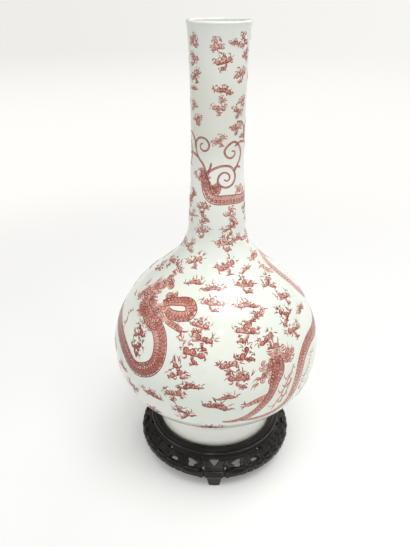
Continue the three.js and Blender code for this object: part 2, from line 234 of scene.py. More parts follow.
def wire(tree, kind, inputs, output=0, **settings):
    """Adds a node, gives each input a value or joins it to another's output, and returns one output."""
    made = tree.nodes.new("ShaderNode" + kind)
    for setting, value in settings.items():
        setattr(made, setting, value)
    for socket, value in inputs.items():
        if isinstance(value, bpy.types.NodeSocket):
            tree.links.new(value, made.inputs[socket])
        else:
            made.inputs[socket].default_value = value
    return made.outputs[output]


def calculate(tree, operation, *values, clamp=False):
    """One sum of a shader, such as ADD or MULTIPLY_ADD."""
    return wire(tree, "Math", dict(enumerate(values)), operation=operation, use_clamp=clamp)


def product(tree, first, second):
    """Two values multiplied."""
    return calculate(tree, "MULTIPLY", first, second)


def between(tree, value, low, high):
    """Rises smoothly from 0 to 1 as the value goes from low to high."""
    inputs = {"Value": value, "From Min": low, "From Max": high}
    return wire(tree, "MapRange", inputs, interpolation_type="SMOOTHSTEP")


def noise(tree, place, scale, detail=3.0, roughness=0.55):
    """Cloudy noise from 0 to 1 about 0.5."""
    inputs = {"Vector": place, "Scale": scale, "Detail": detail, "Roughness": roughness}
    return wire(tree, "TexNoise", inputs)


def mix_colours(tree, share, first, second):
    """The first colour where the share is 0, the second where it is 1."""
    return wire(tree, "Mix", {"Factor": share, 6: first, 7: second}, output=2, data_type="RGBA")


def object_place(tree):
    """The surface's place in the object's own coordinates."""
    return wire(tree, "TexCoord", {}, output=3)


def relief(tree, height, strength, distance):
    """A bump of the surface from a height, with its distance in millimetres."""
    return wire(tree, "Bump", {"Height": height, "Strength": strength, "Distance": distance * MM})


# The glaze's tints, and the heights over which they come in. The foot's paler glaze is painted light that
# lifts the shade under the belly, the neck's is its own bluer tint and painted light that lifts its shade,
# and the darker glaze at the lip and in the bore is painted shade.
GLAZE = (236, 239, 228)
THICK_GLAZE = (230, 235, 227)
FLECKED_GLAZE = (222, 226, 212)
POOLED_GLAZE = (196, 206, 196)
FOOT_PAINTED_LIGHT = (246, 247, 241)
NECK_TINT_AND_PAINTED_LIGHT = (240, 241, 237)
LIP_PAINTED_SHADE = (222, 226, 220)
BORE_PAINTED_SHADE = (222, 224, 214)
IRON_SPECK = (120, 108, 92)
PALE_BISCUIT = (222, 210, 190)
WORN_BISCUIT = (186, 160, 128)
NECK_TINT_AND_LIGHT_HEIGHTS = (255, 300)
LIP_SHADE_HEIGHTS = (380, 415)
BORE_SHADE_HEIGHTS = (300, 340)
BARE_EDGE_HEIGHTS = (vase_low + 1.5, vase_low + 1.1)


def porcelain_finish():
    """Pale glaze, greener where thick, with faint iron specks, a bare edge on the foot, and painted light
    and shade.
    """
    material, tree, feed = new_finish("porcelain glaze", 0.1, IOR=1.5)
    place = object_place(tree)
    broad = noise(tree, place, 14.0, 2.0)
    fine = noise(tree, place, 90.0, 4.0)
    height = wire(tree, "SeparateXYZ", {0: place}, output=2)
    flat_place = wire(tree, "VectorMath", {0: place, 1: (1, 1, 0)}, operation="MULTIPLY")
    radius = wire(tree, "VectorMath", {0: flat_place}, output=1, operation="LENGTH")

    def rise(value, low, high):
        """Rises from 0 to 1 between two lengths in millimetres."""
        return between(tree, value, low * MM, high * MM)

    glaze_edge = vase_low + FOOT_HEIGHT
    upper_pool = rise(height, glaze_edge + 9, glaze_edge)
    lower_pool = rise(height, glaze_edge - 7, glaze_edge)
    inside = rise(radius, MOUTH_RADIUS - 1.6, MOUTH_RADIUS - 3)
    speck_distance, speck_choice = (
        wire(tree, "TexVoronoi", {"Vector": place, "Scale": 55.0}, output=output) for output in (0, 1)
    )
    chosen = calculate(tree, "GREATER_THAN", wire(tree, "SeparateColor", {0: speck_choice}), 0.9)
    speck = product(tree, between(tree, speck_distance, 0.035, 0.015), chosen)
    glaze = mix_colours(tree, between(tree, broad, 0.35, 0.65), srgb(*GLAZE), srgb(*THICK_GLAZE))
    for share, tint in (
        (product(tree, between(tree, fine, 0.5, 0.8), 0.35), FLECKED_GLAZE),
        (product(tree, product(tree, upper_pool, lower_pool), 0.6), POOLED_GLAZE),
        # Painted light: the foot's paler glaze lifts the shade under the belly.
        (rise(height, glaze_edge, glaze_edge - 3), FOOT_PAINTED_LIGHT),
        # The neck's own bluer tint, with painted light that lifts the neck's shade.
        (product(tree, rise(height, *NECK_TINT_AND_LIGHT_HEIGHTS), 0.8), NECK_TINT_AND_PAINTED_LIGHT),
        # Painted shade: the glaze darkens towards the lip.
        (product(tree, rise(height, *LIP_SHADE_HEIGHTS), 0.8), LIP_PAINTED_SHADE),
        # Painted shade inside the bore.
        (product(tree, rise(height, *BORE_SHADE_HEIGHTS), inside), BORE_PAINTED_SHADE),
        (product(tree, speck, 0.8), IRON_SPECK),
    ):
        glaze = mix_colours(tree, share, glaze, srgb(*tint))
    wander = product(tree, noise(tree, place, 160.0), 0.9 * MM)
    bare = rise(calculate(tree, "SUBTRACT", height, wander), *BARE_EDGE_HEIGHTS)
    grain = between(tree, noise(tree, place, 700.0), 0.4, 0.7)
    biscuit = mix_colours(tree, grain, srgb(*PALE_BISCUIT), srgb(*WORN_BISCUIT))
    feed("Base Color", mix_colours(tree, bare, glaze, biscuit))
    glazed = calculate(tree, "MULTIPLY_ADD", fine, 0.06, 0.06)
    feed("Roughness", calculate(tree, "MULTIPLY_ADD", bare, 0.6, glazed))
    ripples = noise(tree, place, 60.0, 1.0)
    pores = product(tree, noise(tree, place, 420.0, 1.0), 0.12)
    feed("Normal", relief(tree, calculate(tree, "ADD", ripples, pores), 0.12, 0.6))
    return material


vase_shape = turned_surface(vase_section, VASE_COLUMNS)
vase = mesh_piece("glazed_vase", *vase_shape, porcelain_finish(), "vase", "porcelain")
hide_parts("vase")


# The painting is iron-red enamel, fired over the glaze: pale washes first, then darker lines and dabs on
# them. It stands proud of the glaze by up to a tenth of a millimetre, as a brush leaves it.
WASH = 0
LINE = 1
RELIEF_STEP = 0.05
RELIEF_SUNK = 0.012
RELIEF_KEEL = -0.06
STROKE_SPAN = 2.6
EDGE_TONE = -0.3
random = np.random.default_rng(7)

outline_step = np.hypot(*np.diff(glaze_outline, axis=0).T)
outline_length = np.concatenate([[0], np.cumsum(outline_step)])
outline_tangent = np.gradient(glaze_outline, axis=0)
outline_tangent /= np.hypot(*outline_tangent.T)[:, None]


def along_of(height):
    """Distance up the outline of the vase, in millimetres, at a height."""
    return np.interp(height, glaze_outline[:, 1], outline_length)


def radius_of(along):
    """Radius of the vase at a distance up its outline."""
    return np.interp(along, outline_length, glaze_outline[:, 0])


def on_glaze(azimuth, along, lift):
    """A point that stands off the glaze by a lift: the outline's point plus the lift along its normal."""
    normal_radius = np.interp(along, outline_length, outline_tangent[:, 1])
    normal_height = np.interp(along, outline_length, -outline_tangent[:, 0])
    radius = radius_of(along) + lift * normal_radius
    height = np.interp(along, outline_length, glaze_outline[:, 1]) + lift * normal_height
    return np.stack([radius * np.sin(azimuth), -radius * np.cos(azimuth), height], -1) * MM


def spots(places):
    """Places of azimuth in degrees and height as places of a stroke's line."""
    azimuth, height = np.asarray(places, float).T[:2]
    return np.stack([np.radians(azimuth), along_of(height)], -1)


def flowing(points, steps_each=6):
    """A smooth line of cubics through points. Its slope at one is half the step between its neighbours."""
    points = np.asarray(points, float)
    padded = np.concatenate([2 * points[:1] - points[1:2], points, 2 * points[-1:] - points[-2:-1]])
    t = np.linspace(0, 1, steps_each, endpoint=False)[:, None]
    spans = []
    for before, start, end, after in zip(padded, padded[1:], padded[2:], padded[3:]):
        slope_in = (end - before) / 2
        slope_out = (after - start) / 2
        spans.append(
            (2 * t**3 - 3 * t**2 + 1) * start + (t**3 - 2 * t**2 + t) * slope_in
            + (3 * t**2 - 2 * t**3) * end + (t**3 - t**2) * slope_out
        )
    return np.concatenate([*spans, points[-1:]])


def way_of(line):
    """The unit way of a line on the glaze at each of its places, right and up in millimetres."""
    azimuth, along = line.T
    way = np.stack([np.gradient(azimuth) * radius_of(along), np.gradient(along)], -1)
    return way / np.maximum(np.hypot(*way.T), 1e-9)[:, None]


def beside(line, offset):
    """The line moved to the left of its way by an offset: x - offset way_y, y + offset way_x."""
    way_x, way_y = way_of(line).T
    return line + np.stack([-way_y * offset / radius_of(line[:, 1]), way_x * offset], -1)


def lengths_of(line):
    """Distance along a line on the glaze at each of its places."""
    pace = np.hypot(np.diff(line[:, 0]) * radius_of(line[1:, 1]), np.diff(line[:, 1]))
    return np.concatenate([[0], np.cumsum(pace)])


def tapered(steps, start=0.15, end=0.05, fullest=0.4):
    """Widths of a brush stroke as shares of its fullest: it opens from the start, and thins to the end."""
    t = np.linspace(0, 1, steps)
    opening = start + (1 - start) * np.sin(np.clip(t / fullest, 0, 1) * np.pi / 2)
    closing = end + (1 - end) * np.cos(np.clip((t - fullest) / (1 - fullest), 0, 1) * np.pi / 2)
    return np.minimum(opening, closing)


def even(steps, cap=0.12):
    """Widths of a stroke that stays wide, and rounds off over a cap at each end."""
    t = np.linspace(0, 1, steps)
    near = np.clip(np.minimum(t, 1 - t) / cap, 0, 1)
    return np.sqrt(np.clip(1 - (1 - near) ** 2, 0.004, 1))


class Painting:
    """Brush strokes on the vase, gathered into one mesh.

    A stroke's line is a row of places on the glaze: an azimuth in radians and a distance up the outline.
    Its tone runs from -0.4, bare glaze, over 0, a pale wash, to 1, a dark line. Its layer is WASH, on the
    glaze, or LINE, on the washes. Edge is what the tone gains at the stroke's sides, where it thins out.
    """

    def __init__(self):
        self.points = []
        self.faces = []
        self.tones = []
        self.brush = []
        self.count = 0

    def stroke(self, line, width, tone, layer=WASH, edge=EDGE_TONE):
        """A closed low ridge. Its lift at v, from -1 to 1 across it, is layer + 1 - v^2 in relief steps.

        A wash's is a little less, so its sides sink into the glaze, and a line has a keel that goes in.
        """
        azimuth, along = np.asarray(line, float).T
        radius = radius_of(along)
        way_x, way_y = way_of(np.stack([azimuth, along], -1)).T
        half = np.broadcast_to(width, azimuth.shape) / 2
        columns = max(2, int(np.ceil(2 * half.max() / STROKE_SPAN)))
        across = np.linspace(-1, 1, columns + 1)
        lift = layer * RELIEF_STEP + (1 - across**2) * RELIEF_STEP
        if layer == LINE:
            across = np.append(across, 0)
            lift = np.append(lift, RELIEF_KEEL)
        else:
            lift -= RELIEF_SUNK
        azimuths = azimuth[:, None] - (way_y * half / radius)[:, None] * across
        alongs = along[:, None] + (way_x * half)[:, None] * across
        rows, ring = shape = azimuths.shape
        self.points.append(on_glaze(azimuths, alongs, np.broadcast_to(lift, shape)).reshape(-1, 3))
        index = self.count + np.arange(rows * ring).reshape(rows, ring)
        after = np.roll(index, -1, axis=1)
        quads = np.stack([index[:-1], index[1:], after[1:], after[:-1]], -1).reshape(-1, 4)
        self.faces.extend(quads.tolist())
        self.faces.append(index[0].tolist())
        self.faces.append(index[-1][::-1].tolist())
        tones = np.broadcast_to(np.asarray(tone, float).reshape(-1, 1), shape) + edge * across**4
        self.tones.append(tones.reshape(-1))
        start = random.uniform(0, 40)
        length = start + lengths_of(np.stack([azimuth, along], -1))
        brush = [np.broadcast_to(length[:, None], shape), start + half[:, None] * across]
        self.brush.append(np.stack(brush, -1).reshape(-1, 2))
        self.count += rows * ring

    def piece(self, name, material):
        """The strokes so far as a piece that rides on the vase."""
        points = np.concatenate(self.points)
        mesh = mesh_piece(name, points, self.faces, material, "vase", "porcelain").data
        mesh.set_sharp_from_angle(angle=np.radians(60))
        tone = mesh.attributes.new("tone", "FLOAT", "POINT")
        tone.data.foreach_set("value", np.concatenate(self.tones).astype(np.float32))
        brush = mesh.uv_layers.new(name="brush")
        corner = np.zeros(len(mesh.loops), np.int32)
        mesh.loops.foreach_get("vertex_index", corner)
        brush.data.foreach_set("uv", np.concatenate(self.brush)[corner].astype(np.float32).ravel())


# The colour of each tone, from the bare glaze to the darkest line, and the tint of the rusty places.
TONE_COLOURS = (
    (-0.4, (234, 236, 227)), (-0.08, (227, 202, 191)), (0.2, (206, 155, 142)), (0.48, (176, 103, 92)),
    (0.76, (140, 66, 58)), (1, (104, 41, 36)),
)
RUST_TINT = (1.0, 0.9, 0.76, 1.0)


def iron_red_finish():
    """Iron-red enamel, from a pink wash to a dark brown line by its tone, streaked and rusty in places."""
    material, tree, feed = new_finish("iron red enamel", 0.2, IOR=1.5)
    shade = wire(tree, "Attribute", {}, output=2, attribute_name="tone")
    brush = wire(tree, "UVMap", {}, uv_map="brush")
    stretched = wire(tree, "Mapping", {"Vector": brush, "Scale": (0.22, 1.7, 1.0)})
    for unevenness in (noise(tree, stretched, 1.0, 2.0), noise(tree, object_place(tree), 260.0, 3.0)):
        shade = calculate(tree, "MULTIPLY_ADD", calculate(tree, "SUBTRACT", unevenness, 0.5), 0.6, shade)
    palest = TONE_COLOURS[0][0]
    span = 1 - palest
    ramp = tree.nodes.new("ShaderNodeValToRGB")
    stops = ramp.color_ramp.elements
    stops[0].color = srgb(*TONE_COLOURS[0][1])
    stops[1].color = srgb(*TONE_COLOURS[-1][1])
    for tone, colour in TONE_COLOURS[1:-1]:
        stops.new((tone - palest) / span).color = srgb(*colour)
    share = calculate(tree, "MULTIPLY_ADD", shade, 1 / span, -palest / span, clamp=True)
    tree.links.new(share, ramp.inputs[0])
    rust = product(tree, between(tree, noise(tree, object_place(tree), 120.0, 2.0), 0.42, 0.66), 0.75)
    feed("Base Color", wire(tree, "Mix", {"Factor": rust, 6: ramp.outputs[0], 7: RUST_TINT}, output=2,
                            data_type="RGBA", blend_type="MULTIPLY"))
    return material


iron_red = iron_red_finish()


# Clouds: ragged scrolled puffs on stems, with hairs that fly off them. Each puff is an open curl of wash
# with a dark curl and hooks on it. Four layouts are used, and the free brush makes each cloud differ. What
# a cloud's tones gain goes by its height: painted shade darkens the low clouds and painted light pales the
# high ones.
CLOUD_WASH = 0.26
PAINTED_SHADE_BY_HEIGHT = ((95, 150, 200, 240), (0.27, 0.15, 0.02, -0.05))


def local_line(anchor, points, turn=0.0, size=1.0):
    """Points in millimetres, right and up, about an anchor on the glaze, turned and scaled."""
    cos, sin = np.cos(turn), np.sin(turn)
    x, y = np.asarray(points, float).T * size
    across, up = cos * x - sin * y, sin * x + cos * y
    return np.stack([anchor[0] + across / radius_of(anchor[1]), anchor[1] + up], -1)


def arc(centre, size, start, sweep, steps=8, shrink=0.0):
    """A line round a centre, whose radius goes from size to size (1 - shrink) as it turns by the sweep."""
    t = np.linspace(0, 1, steps)
    angle = np.radians(start + sweep * t)
    radius = size * (1 - shrink * t)
    return np.stack([centre[0] + radius * np.cos(angle), centre[1] + radius * np.sin(angle)], -1)


def hair(root, angle, length, bend, steps=6):
    """A short line from a root, that leaves at an angle and bends by so many degrees over its length."""
    t = np.linspace(0, 1, steps)
    heading = np.radians(angle + bend * t)
    step = length / (steps - 1)
    x = root[0] + np.concatenate([[0], np.cumsum(np.cos(heading[1:]) * step)])
    y = root[1] + np.concatenate([[0], np.cumsum(np.sin(heading[1:]) * step)])
    return np.stack([x, y], -1)


def brush_at(art, place, turn=0.0, size=1.0, way=1, dark=0.0, unrest=0.0):
    """Gives a function that draws a line of millimetres, right and up, about a place on the glaze.

    Way -1 mirrors the line, which is then turned and scaled. Dark deepens its tone, and unrest, from 0 to
    1, is how much the free hand shifts, swells and shades it.
    """
    anchor = spots([place])[0]

    def draw(points, width, shade, layer, profile):
        line = (np.asarray(points, float) + random.normal(0, 0.16 * unrest, 2)) * (way, 1)
        line = local_line(anchor, line, turn, size)
        swell = 1 + (0 if layer == LINE else unrest * random.uniform(-0.3, 0.3, len(line)))
        shades = shade + dark + unrest * random.uniform(-0.12, 0.12, len(line))
        art.stroke(line, profile(len(line)) * swell * width * size, np.clip(shades, 0, 1), layer)

    return draw


def paint_puff(draw, centre, size, lean):
    """One puff: an open curl of wash, a dark curl that winds in, and hooks that leave its edge."""
    draw(arc(centre, 0.42 * size, lean, 330, 9), 1.2 * size, CLOUD_WASH, WASH, even)
    draw(arc(centre, 0.96 * size, lean + 60, 430, 14, 0.78), 0.85, 0.9, LINE, tapered)
    for step in range(3):
        angle = lean - 30 + 88 * step + random.uniform(-25, 25)
        way_out = np.array([np.cos(np.radians(angle)), np.sin(np.radians(angle))])
        hook = hair(np.array(centre) + 0.8 * size * way_out, angle - random.uniform(20, 60),
                    random.uniform(1.1, 1.6) * size, 190, 8)
        draw(hook, 0.5 * size, CLOUD_WASH, WASH, tapered)
        draw(hook, 0.8, 0.88, LINE, tapered)


# Each layout gives its puffs as (right, up, size), its stems as (points, width), and the places that
# hairs grow from as (right, up, angle).
CLOUD_LAYOUTS = {
    "band": (
        [(-6, 0.2, 3.3), (5.8, 0.8, 3.1), (0.2, 2.8, 3.7), (-3.6, -6.4, 2.1)],
        [
            ([(-9, -1.4), (-4, -0.6), (2, -0.8), (9.4, -0.4)], 4.4),
            ([(0.6, -1), (2, -3.6), (-0.6, -6), (-4.2, -6.8)], 4),
            ([(-6.8, -8), (-3, -7), (0.6, -8.2)], 2.6),
        ],
        [(0.3, 5.2, 95), (2.2, 4.6, 60), (-2.6, 4.2, 130), (8.4, 1.6, 10), (-9, 0.6, 170)],
    ),
    "pair": (
        [(5, 3, 3.9), (-5.6, -1.2, 3.5), (-0.4, 1, 3), (1, -6.4, 2.2)],
        [
            ([(-9.2, -2.8), (-3, -1.2), (3, 0.8), (9, 1)], 4.4),
            ([(-0.4, -1.4), (1.8, -3.8), (0.2, -7)], 3.8),
            ([(-3, -8.4), (0.4, -7.6), (4.2, -8.8)], 2.6),
        ],
        [(8.2, 5.2, 50), (9, 2.8, 5), (4.6, 6.6, 100), (-8.8, -0.4, 165), (-7.4, 1.2, 130)],
    ),
    "streak": (
        [(-5, -0.2, 2.5), (0.4, 1.2, 3.1), (5.4, 0.2, 2.4)],
        [
            ([(-11.8, -1.8), (-6, -1.4), (0, -0.4), (6, -1), (11.4, 0)], 3.6),
            ([(-4, 1), (1, 2.4), (5, 1.6)], 3),
        ],
        [(1.6, 3.4, 70), (-1.4, 3.2, 110), (9.4, 0.8, 15), (-9, -0.4, 160), (7, 1.8, 40)],
    ),
    "plume": (
        [(-2, 4, 3.3), (2.8, -0.2, 3.6), (-2.6, -4.2, 2.9)],
        [
            ([(-3.2, 6), (-0.4, 2), (2.6, -1), (-1, -4.6), (-6.2, -6.8)], 4.2),
            ([(2.8, -0.8), (6.2, -2), (10, -0.8)], 3.2),
        ],
        [(-3.4, 6.8, 110), (-1.2, 7.2, 80), (0.6, 6, 55), (-5, 4.8, 150), (5.4, 1.6, 30),
         (6.2, -0.2, -10), (-5.4, -3.6, 170), (-2.6, 1, 185)],
    ),
}


def paint_cloud(art, place, size=1.0, layout="band", way=1, dark=0.0, full=1.0, hairs=1.0):
    """One cloud, about 20 mm wide at size 1, on its layout. Way -1 mirrors it, and dark deepens its tones.

    Full swells its puffs, and hairs is how long its hairs are, both as shares of the usual.
    """
    puffs, stems, roots = CLOUD_LAYOUTS[layout]
    turn = np.radians(random.uniform(-14, 18)) * way
    # Painted shade by height: low clouds darker, high ones paler.
    shade = dark + np.interp(place[1], *PAINTED_SHADE_BY_HEIGHT) + random.uniform(-0.08, 0.08)
    draw = brush_at(art, place, turn, size, way, shade, 1.0)
    for points, width in stems:
        stem = flowing(np.array(points) + random.normal(0, 0.35, (len(points), 2)), 4)
        draw(stem, 0.8 * width, CLOUD_WASH, WASH, even)
        draw(stem[1:] - (0, 0.26 * width), 0.8, 0.8, LINE, tapered)
    for x, y, puff_size in puffs:
        paint_puff(draw, (x, y), full * puff_size * random.uniform(0.82, 1.06), random.uniform(-60, 200))
    for x, y, angle in roots:
        for _ in range(random.integers(1, 4)):
            lean = angle + random.uniform(-30, 30)
            flying = hair((x, y), lean, hairs * random.uniform(3.2, 6.8), random.uniform(-110, 110))
            draw(flying, 0.7, 0.72, LINE, tapered)


def paint_clouds(art, clouds, **style):
    """Clouds from a list of (azimuth, height, size, layout, way)."""
    for azimuth, height, size, layout, way in clouds:
        paint_cloud(art, (azimuth, height), size, layout, way, **style)


def rim_of(points, offset):
    """A line in the plane moved to the left of its way by an offset: x - offset way_y, y + offset way_x."""
    way = np.gradient(points, axis=0)
    way /= np.maximum(np.hypot(*way.T), 1e-9)[:, None]
    return points + offset * np.stack([-way[:, 1], way[:, 0]], -1)


def paint_tuft(art, places, size=1.0, dark=0.0):
    """A tangle of hair or leaves: at each place three locks wind in, each a wash between two dark lines."""
    for place in places:
        draw = brush_at(art, place, 0.0, size, 1, dark + random.uniform(-0.1, 0.1), 1.0)
        lean = random.uniform(0, 360)
        for step in range(3):
            bend = random.choice((-1, 1)) * random.uniform(110, 230)
            angle = lean + 120 * step + random.uniform(-30, 30)
            lock = hair((0, 0), angle, random.uniform(7, 10.5), bend, 10)
            draw(lock, 3.6, 0.16, WASH, lambda steps: tapered(steps, 0.5, 0.3, 0.5))
            for side in (-1, 1):
                edge = rim_of(lock, 1.4 * side * tapered(10, 0.5, 0.3, 0.5)[:, None])
                draw(edge, 0.85, 0.84, LINE, tapered)


def paint_fringe(art, keys, dark=0.0):
    """A hairy strand along keys of (azimuth, height, width): a pale wash, a line, and hairs swept back."""
    path, width = limb_path(keys)
    art.stroke(path, width, 0.02 + dark)
    art.stroke(path, 0.9 * tapered(len(path), 0.6, 0.3, 0.5), 0.62 + dark, LINE)
    way = way_of(path)
    for at in range(1, len(path), 2):
        heading = np.degrees(np.arctan2(way[at, 1], way[at, 0]))
        side = random.choice((-1, 1))
        back = hair((0, 0), heading + side * random.uniform(5, 55), random.uniform(4, 10),
                    side * random.uniform(-20, 150))
        width_here = random.uniform(0.7, 1.2) * tapered(6)
        art.stroke(local_line(path[at], back), width_here, random.uniform(0.45, 0.85) + dark, LINE)


# The dragons: scaled bodies that wind over the globe, paler and ticked on the belly, with clawed legs,
# flames at the joints and heads that look at you. They are of the common old kind, and each is drawn
# freehand.
BODY_STEP = 1.6
SCALE_ROW = 3.3
BELLY_SHARE = 0.16
CLAW_BEND = 70
SCALE_ARC = arc((0, 0), 1.0, -78, 156, 4)


def limb_path(keys):
    """The path and widths of a limb along keys of (azimuth, height, width), with a place at every step."""
    keys = np.asarray(keys, float)
    smooth = flowing(np.column_stack([spots(keys), keys[:, 2]]), 8)
    line = smooth[:, :2]
    length = lengths_of(line)
    at = np.linspace(0, length[-1], max(4, int(length[-1] / BODY_STEP) + 1))
    path = np.stack([np.interp(at, length, line[:, 0]), np.interp(at, length, line[:, 1])], -1)
    return path, np.interp(at, length, np.maximum(smooth[:, 2], 0.6))


def paint_scales(art, path, width, low, high, tone):
    """Rows of crescents between two shares of the width, each row half a step on from the last."""
    way = way_of(path)
    heading = np.arctan2(way[:, 1], way[:, 0])
    tone = np.broadcast_to(tone, len(path))
    reach = abs(high - low)
    rows = max(1, int(round(reach * width.max() / SCALE_ROW)))
    for row in range(rows):
        places = beside(path, (low + (high - low) * (row + 0.5) / rows) * width)
        for at in range(2 + row % 2, len(path) - 2, 2):
            size = min(1.7, 0.52 * reach * width[at] / rows)
            if size > 0.45:
                art.stroke(local_line(places[at], SCALE_ARC, heading[at], size), 0.8, tone[at], LINE)


def paint_body(art, keys, belly, shades=((0, 0), (0, 0))):
    """A body along keys of (azimuth, height, width). Its belly is on the left (1) or right (-1) of its way.

    The shades are (height, tone) pairs: what its tones gain at a height lies on the lines between them.
    """
    path, width = limb_path(keys)
    height = np.interp(path[:, 1], outline_length, glaze_outline[:, 1])
    dark = np.interp(height, *np.transpose(shades))
    inner = beside(path, belly * BELLY_SHARE * width)
    art.stroke(beside(path, -belly * 0.16 * width), 0.72 * width, 0.33 + dark, WASH, 0.06)
    art.stroke(beside(path, belly * 0.33 * width), 0.38 * width, 0.18 + 1.2 * dark, WASH, 0.06)
    for side in (-1, 1):
        art.stroke(beside(path, side * 0.5 * width), 0.95, 0.8 + dark, LINE)
    art.stroke(inner, 0.55, 0.62 + dark, LINE)
    outer = beside(path, belly * 0.48 * width)
    for at in range(1, len(path) - 2, 2):
        tick = np.linspace(inner[at], outer[at + 1], 3)
        art.stroke(tick, 0.55 + 1.4 * max(dark[at], 0), 0.68 + dark[at], LINE)
    paint_scales(art, path, width, -belly * 0.47, belly * BELLY_SHARE, np.clip(0.86 + dark, 0, 1))


def paint_leg(art, keys, claws=(-150, -110, -70, -30), dark=0.0):
    """A leg along keys of (azimuth, height, width), with elbow hairs, and claws at angles about its end."""
    path, width = limb_path(keys)
    art.stroke(path, 0.96 * width, 0.28 + dark, WASH)
    for side in (-1, 1):
        art.stroke(beside(path, side * 0.46 * width), 0.8, 0.78 + dark, LINE)
    paint_scales(art, path, width, -0.4, 0.4, 0.78 + dark)
    elbow = path[len(path) // 2]
    for lean in (-40, -15, 10, 35):
        line = hair((0, 0), claws[0] + 150 + lean, random.uniform(5, 8), 40)
        art.stroke(local_line(elbow, line), 0.8 * tapered(6), 0.62 + dark, LINE)
    paw = path[-1]
    art.stroke(local_line(paw, [(-1.6, 0), (0, 0.2), (1.6, 0)]), 3.2 * even(3, 0.6), 0.5 + dark)
    for order, angle in enumerate(claws):
        claw = hair((0, 0), angle, 7.0, CLAW_BEND if order % 2 else -CLAW_BEND)
        art.stroke(local_line(paw, claw), 1.7 * tapered(6), 0.66 + dark, LINE)


def paint_flame(art, place, angle, length, dark=0.0):
    """A flame of three wavy tongues that leaves a place at an angle. Each sways as a sine of 1.3 turns."""
    anchor = spots([place])[0]
    t = np.linspace(0, 1, 9)
    for lean, share in ((-16, 0.7), (0, 1.0), (17, 0.75)):
        reach = length * share
        tongue = np.stack([reach * t, 0.11 * reach * np.sin(2.6 * np.pi * t) * t], -1)
        line = local_line(anchor, tongue, np.radians(angle + lean))
        art.stroke(line, 0.18 * length * tapered(9, 0.5, 0.04, 0.3), 0.26 + dark)
        art.stroke(line, 0.65 * tapered(9), 0.74 + dark, LINE)


# The washes of a head, as (points, width, tone): brow, cheeks, nose and jaw. The beard hangs under them.
HEAD_WASHES = (
    ([(-4.2, 4.2), (0, 5.2), (4.2, 4.2)], 6.2, 0.32),
    ([(-5.8, -3), (0, -3.4), (5.8, -3)], 4.2, 0.34),
    ([(0, 4), (0, -2), (0, -9.4)], 3.6, 0.42),
    ([(-4.2, -6.8), (0, -7.2), (4.2, -6.8)], 6, 0.4),
)
BEARD = [(0, -8), (-0.6, -14), (-2, -20)]
MOUTH = [(-4.6, -8.4), (-2.4, -10), (0, -9.2), (2.4, -10), (4.6, -8.4)]
EYEBROW = [(0.7, 1.8), (2.6, 2.9), (5.4, 2.3), (6.6, 3.9)]
EYE_SPREAD = 3.1
PUPIL = [(EYE_SPREAD - 0.5, 0), (EYE_SPREAD, 0), (EYE_SPREAD + 0.5, 0)]
HORN = [(2.2, 7), (3.7, 10.2), (3.0, 13.8)]
EAR = [(5.6, 2.0), (8.4, 3.8), (10.4, 2.6)]
WHISKER = [(3.2, -7), (6.4, -5.2), (9.2, -7.6), (12.2, -5.4)]


def paint_head(art, pupils, place, size=1.0, turn=0.0, dark=0.0):
    """A head from the front, its eyes level with the place, about 24 mm wide and 36 mm tall at size 1."""
    anchor = spots([place])[0]
    turn = np.radians(turn)
    draw = brush_at(art, place, turn, size, 1, dark)
    for points, width, tone in HEAD_WASHES:
        draw(flowing(points, 4), width, tone, WASH, even)
    draw(flowing(BEARD, 4), 11.0, 0.3, WASH, lambda steps: tapered(steps, 0.8, 0.1, 0.1))
    draw(flowing(MOUTH, 4), 1.1, 0.95, LINE, tapered)
    for way in (-1, 1):
        side = np.array([way, 1])
        draw(flowing(EYEBROW, 4) * side, 1.3, 0.92, LINE, tapered)
        draw(arc((EYE_SPREAD, 0), 1.5, 0, 360, 10) * side, 0.6, 0.9, LINE, even)
        pupil = local_line(anchor, np.array(PUPIL) * side, turn, size)
        pupils.stroke(pupil, 1.5 * size * even(3, 0.6), 1.0, LINE)
        draw(arc((2.2, 5.6), 2.0, -60, 420, 12, 0.75) * side, 0.8, 0.88, LINE, tapered)
        draw(arc((1.8, -7.2), 1.5, 200, -400, 11, 0.7) * side, 0.8, 0.92, LINE, tapered)
        draw(flowing(HORN, 4) * side, 2.0, 0.5, WASH, tapered)
        draw(flowing(EAR, 4) * side, 2.8, 0.4, WASH, tapered)
        draw(flowing(WHISKER, 4) * side, 0.75, 0.8, LINE, tapered)
        for order in range(7):
            root = (5.2 - 0.2 * order, 1.0 - 2.2 * order)
            lock = hair(root, -38 - 7 * order, random.uniform(6.5, 9.5), random.uniform(30, 120), 8) * side
            draw(lock, 3.0, 0.3, WASH, tapered)
            draw(lock, 0.75, 0.8, LINE, tapered)
    for x in np.linspace(-4.5, 4.5, 10):
        bristle = hair((x, -10), -92 + 4 * x, random.uniform(8, 12), random.uniform(-35, 35))
        draw(bristle, 0.8, 0.8, LINE, tapered)


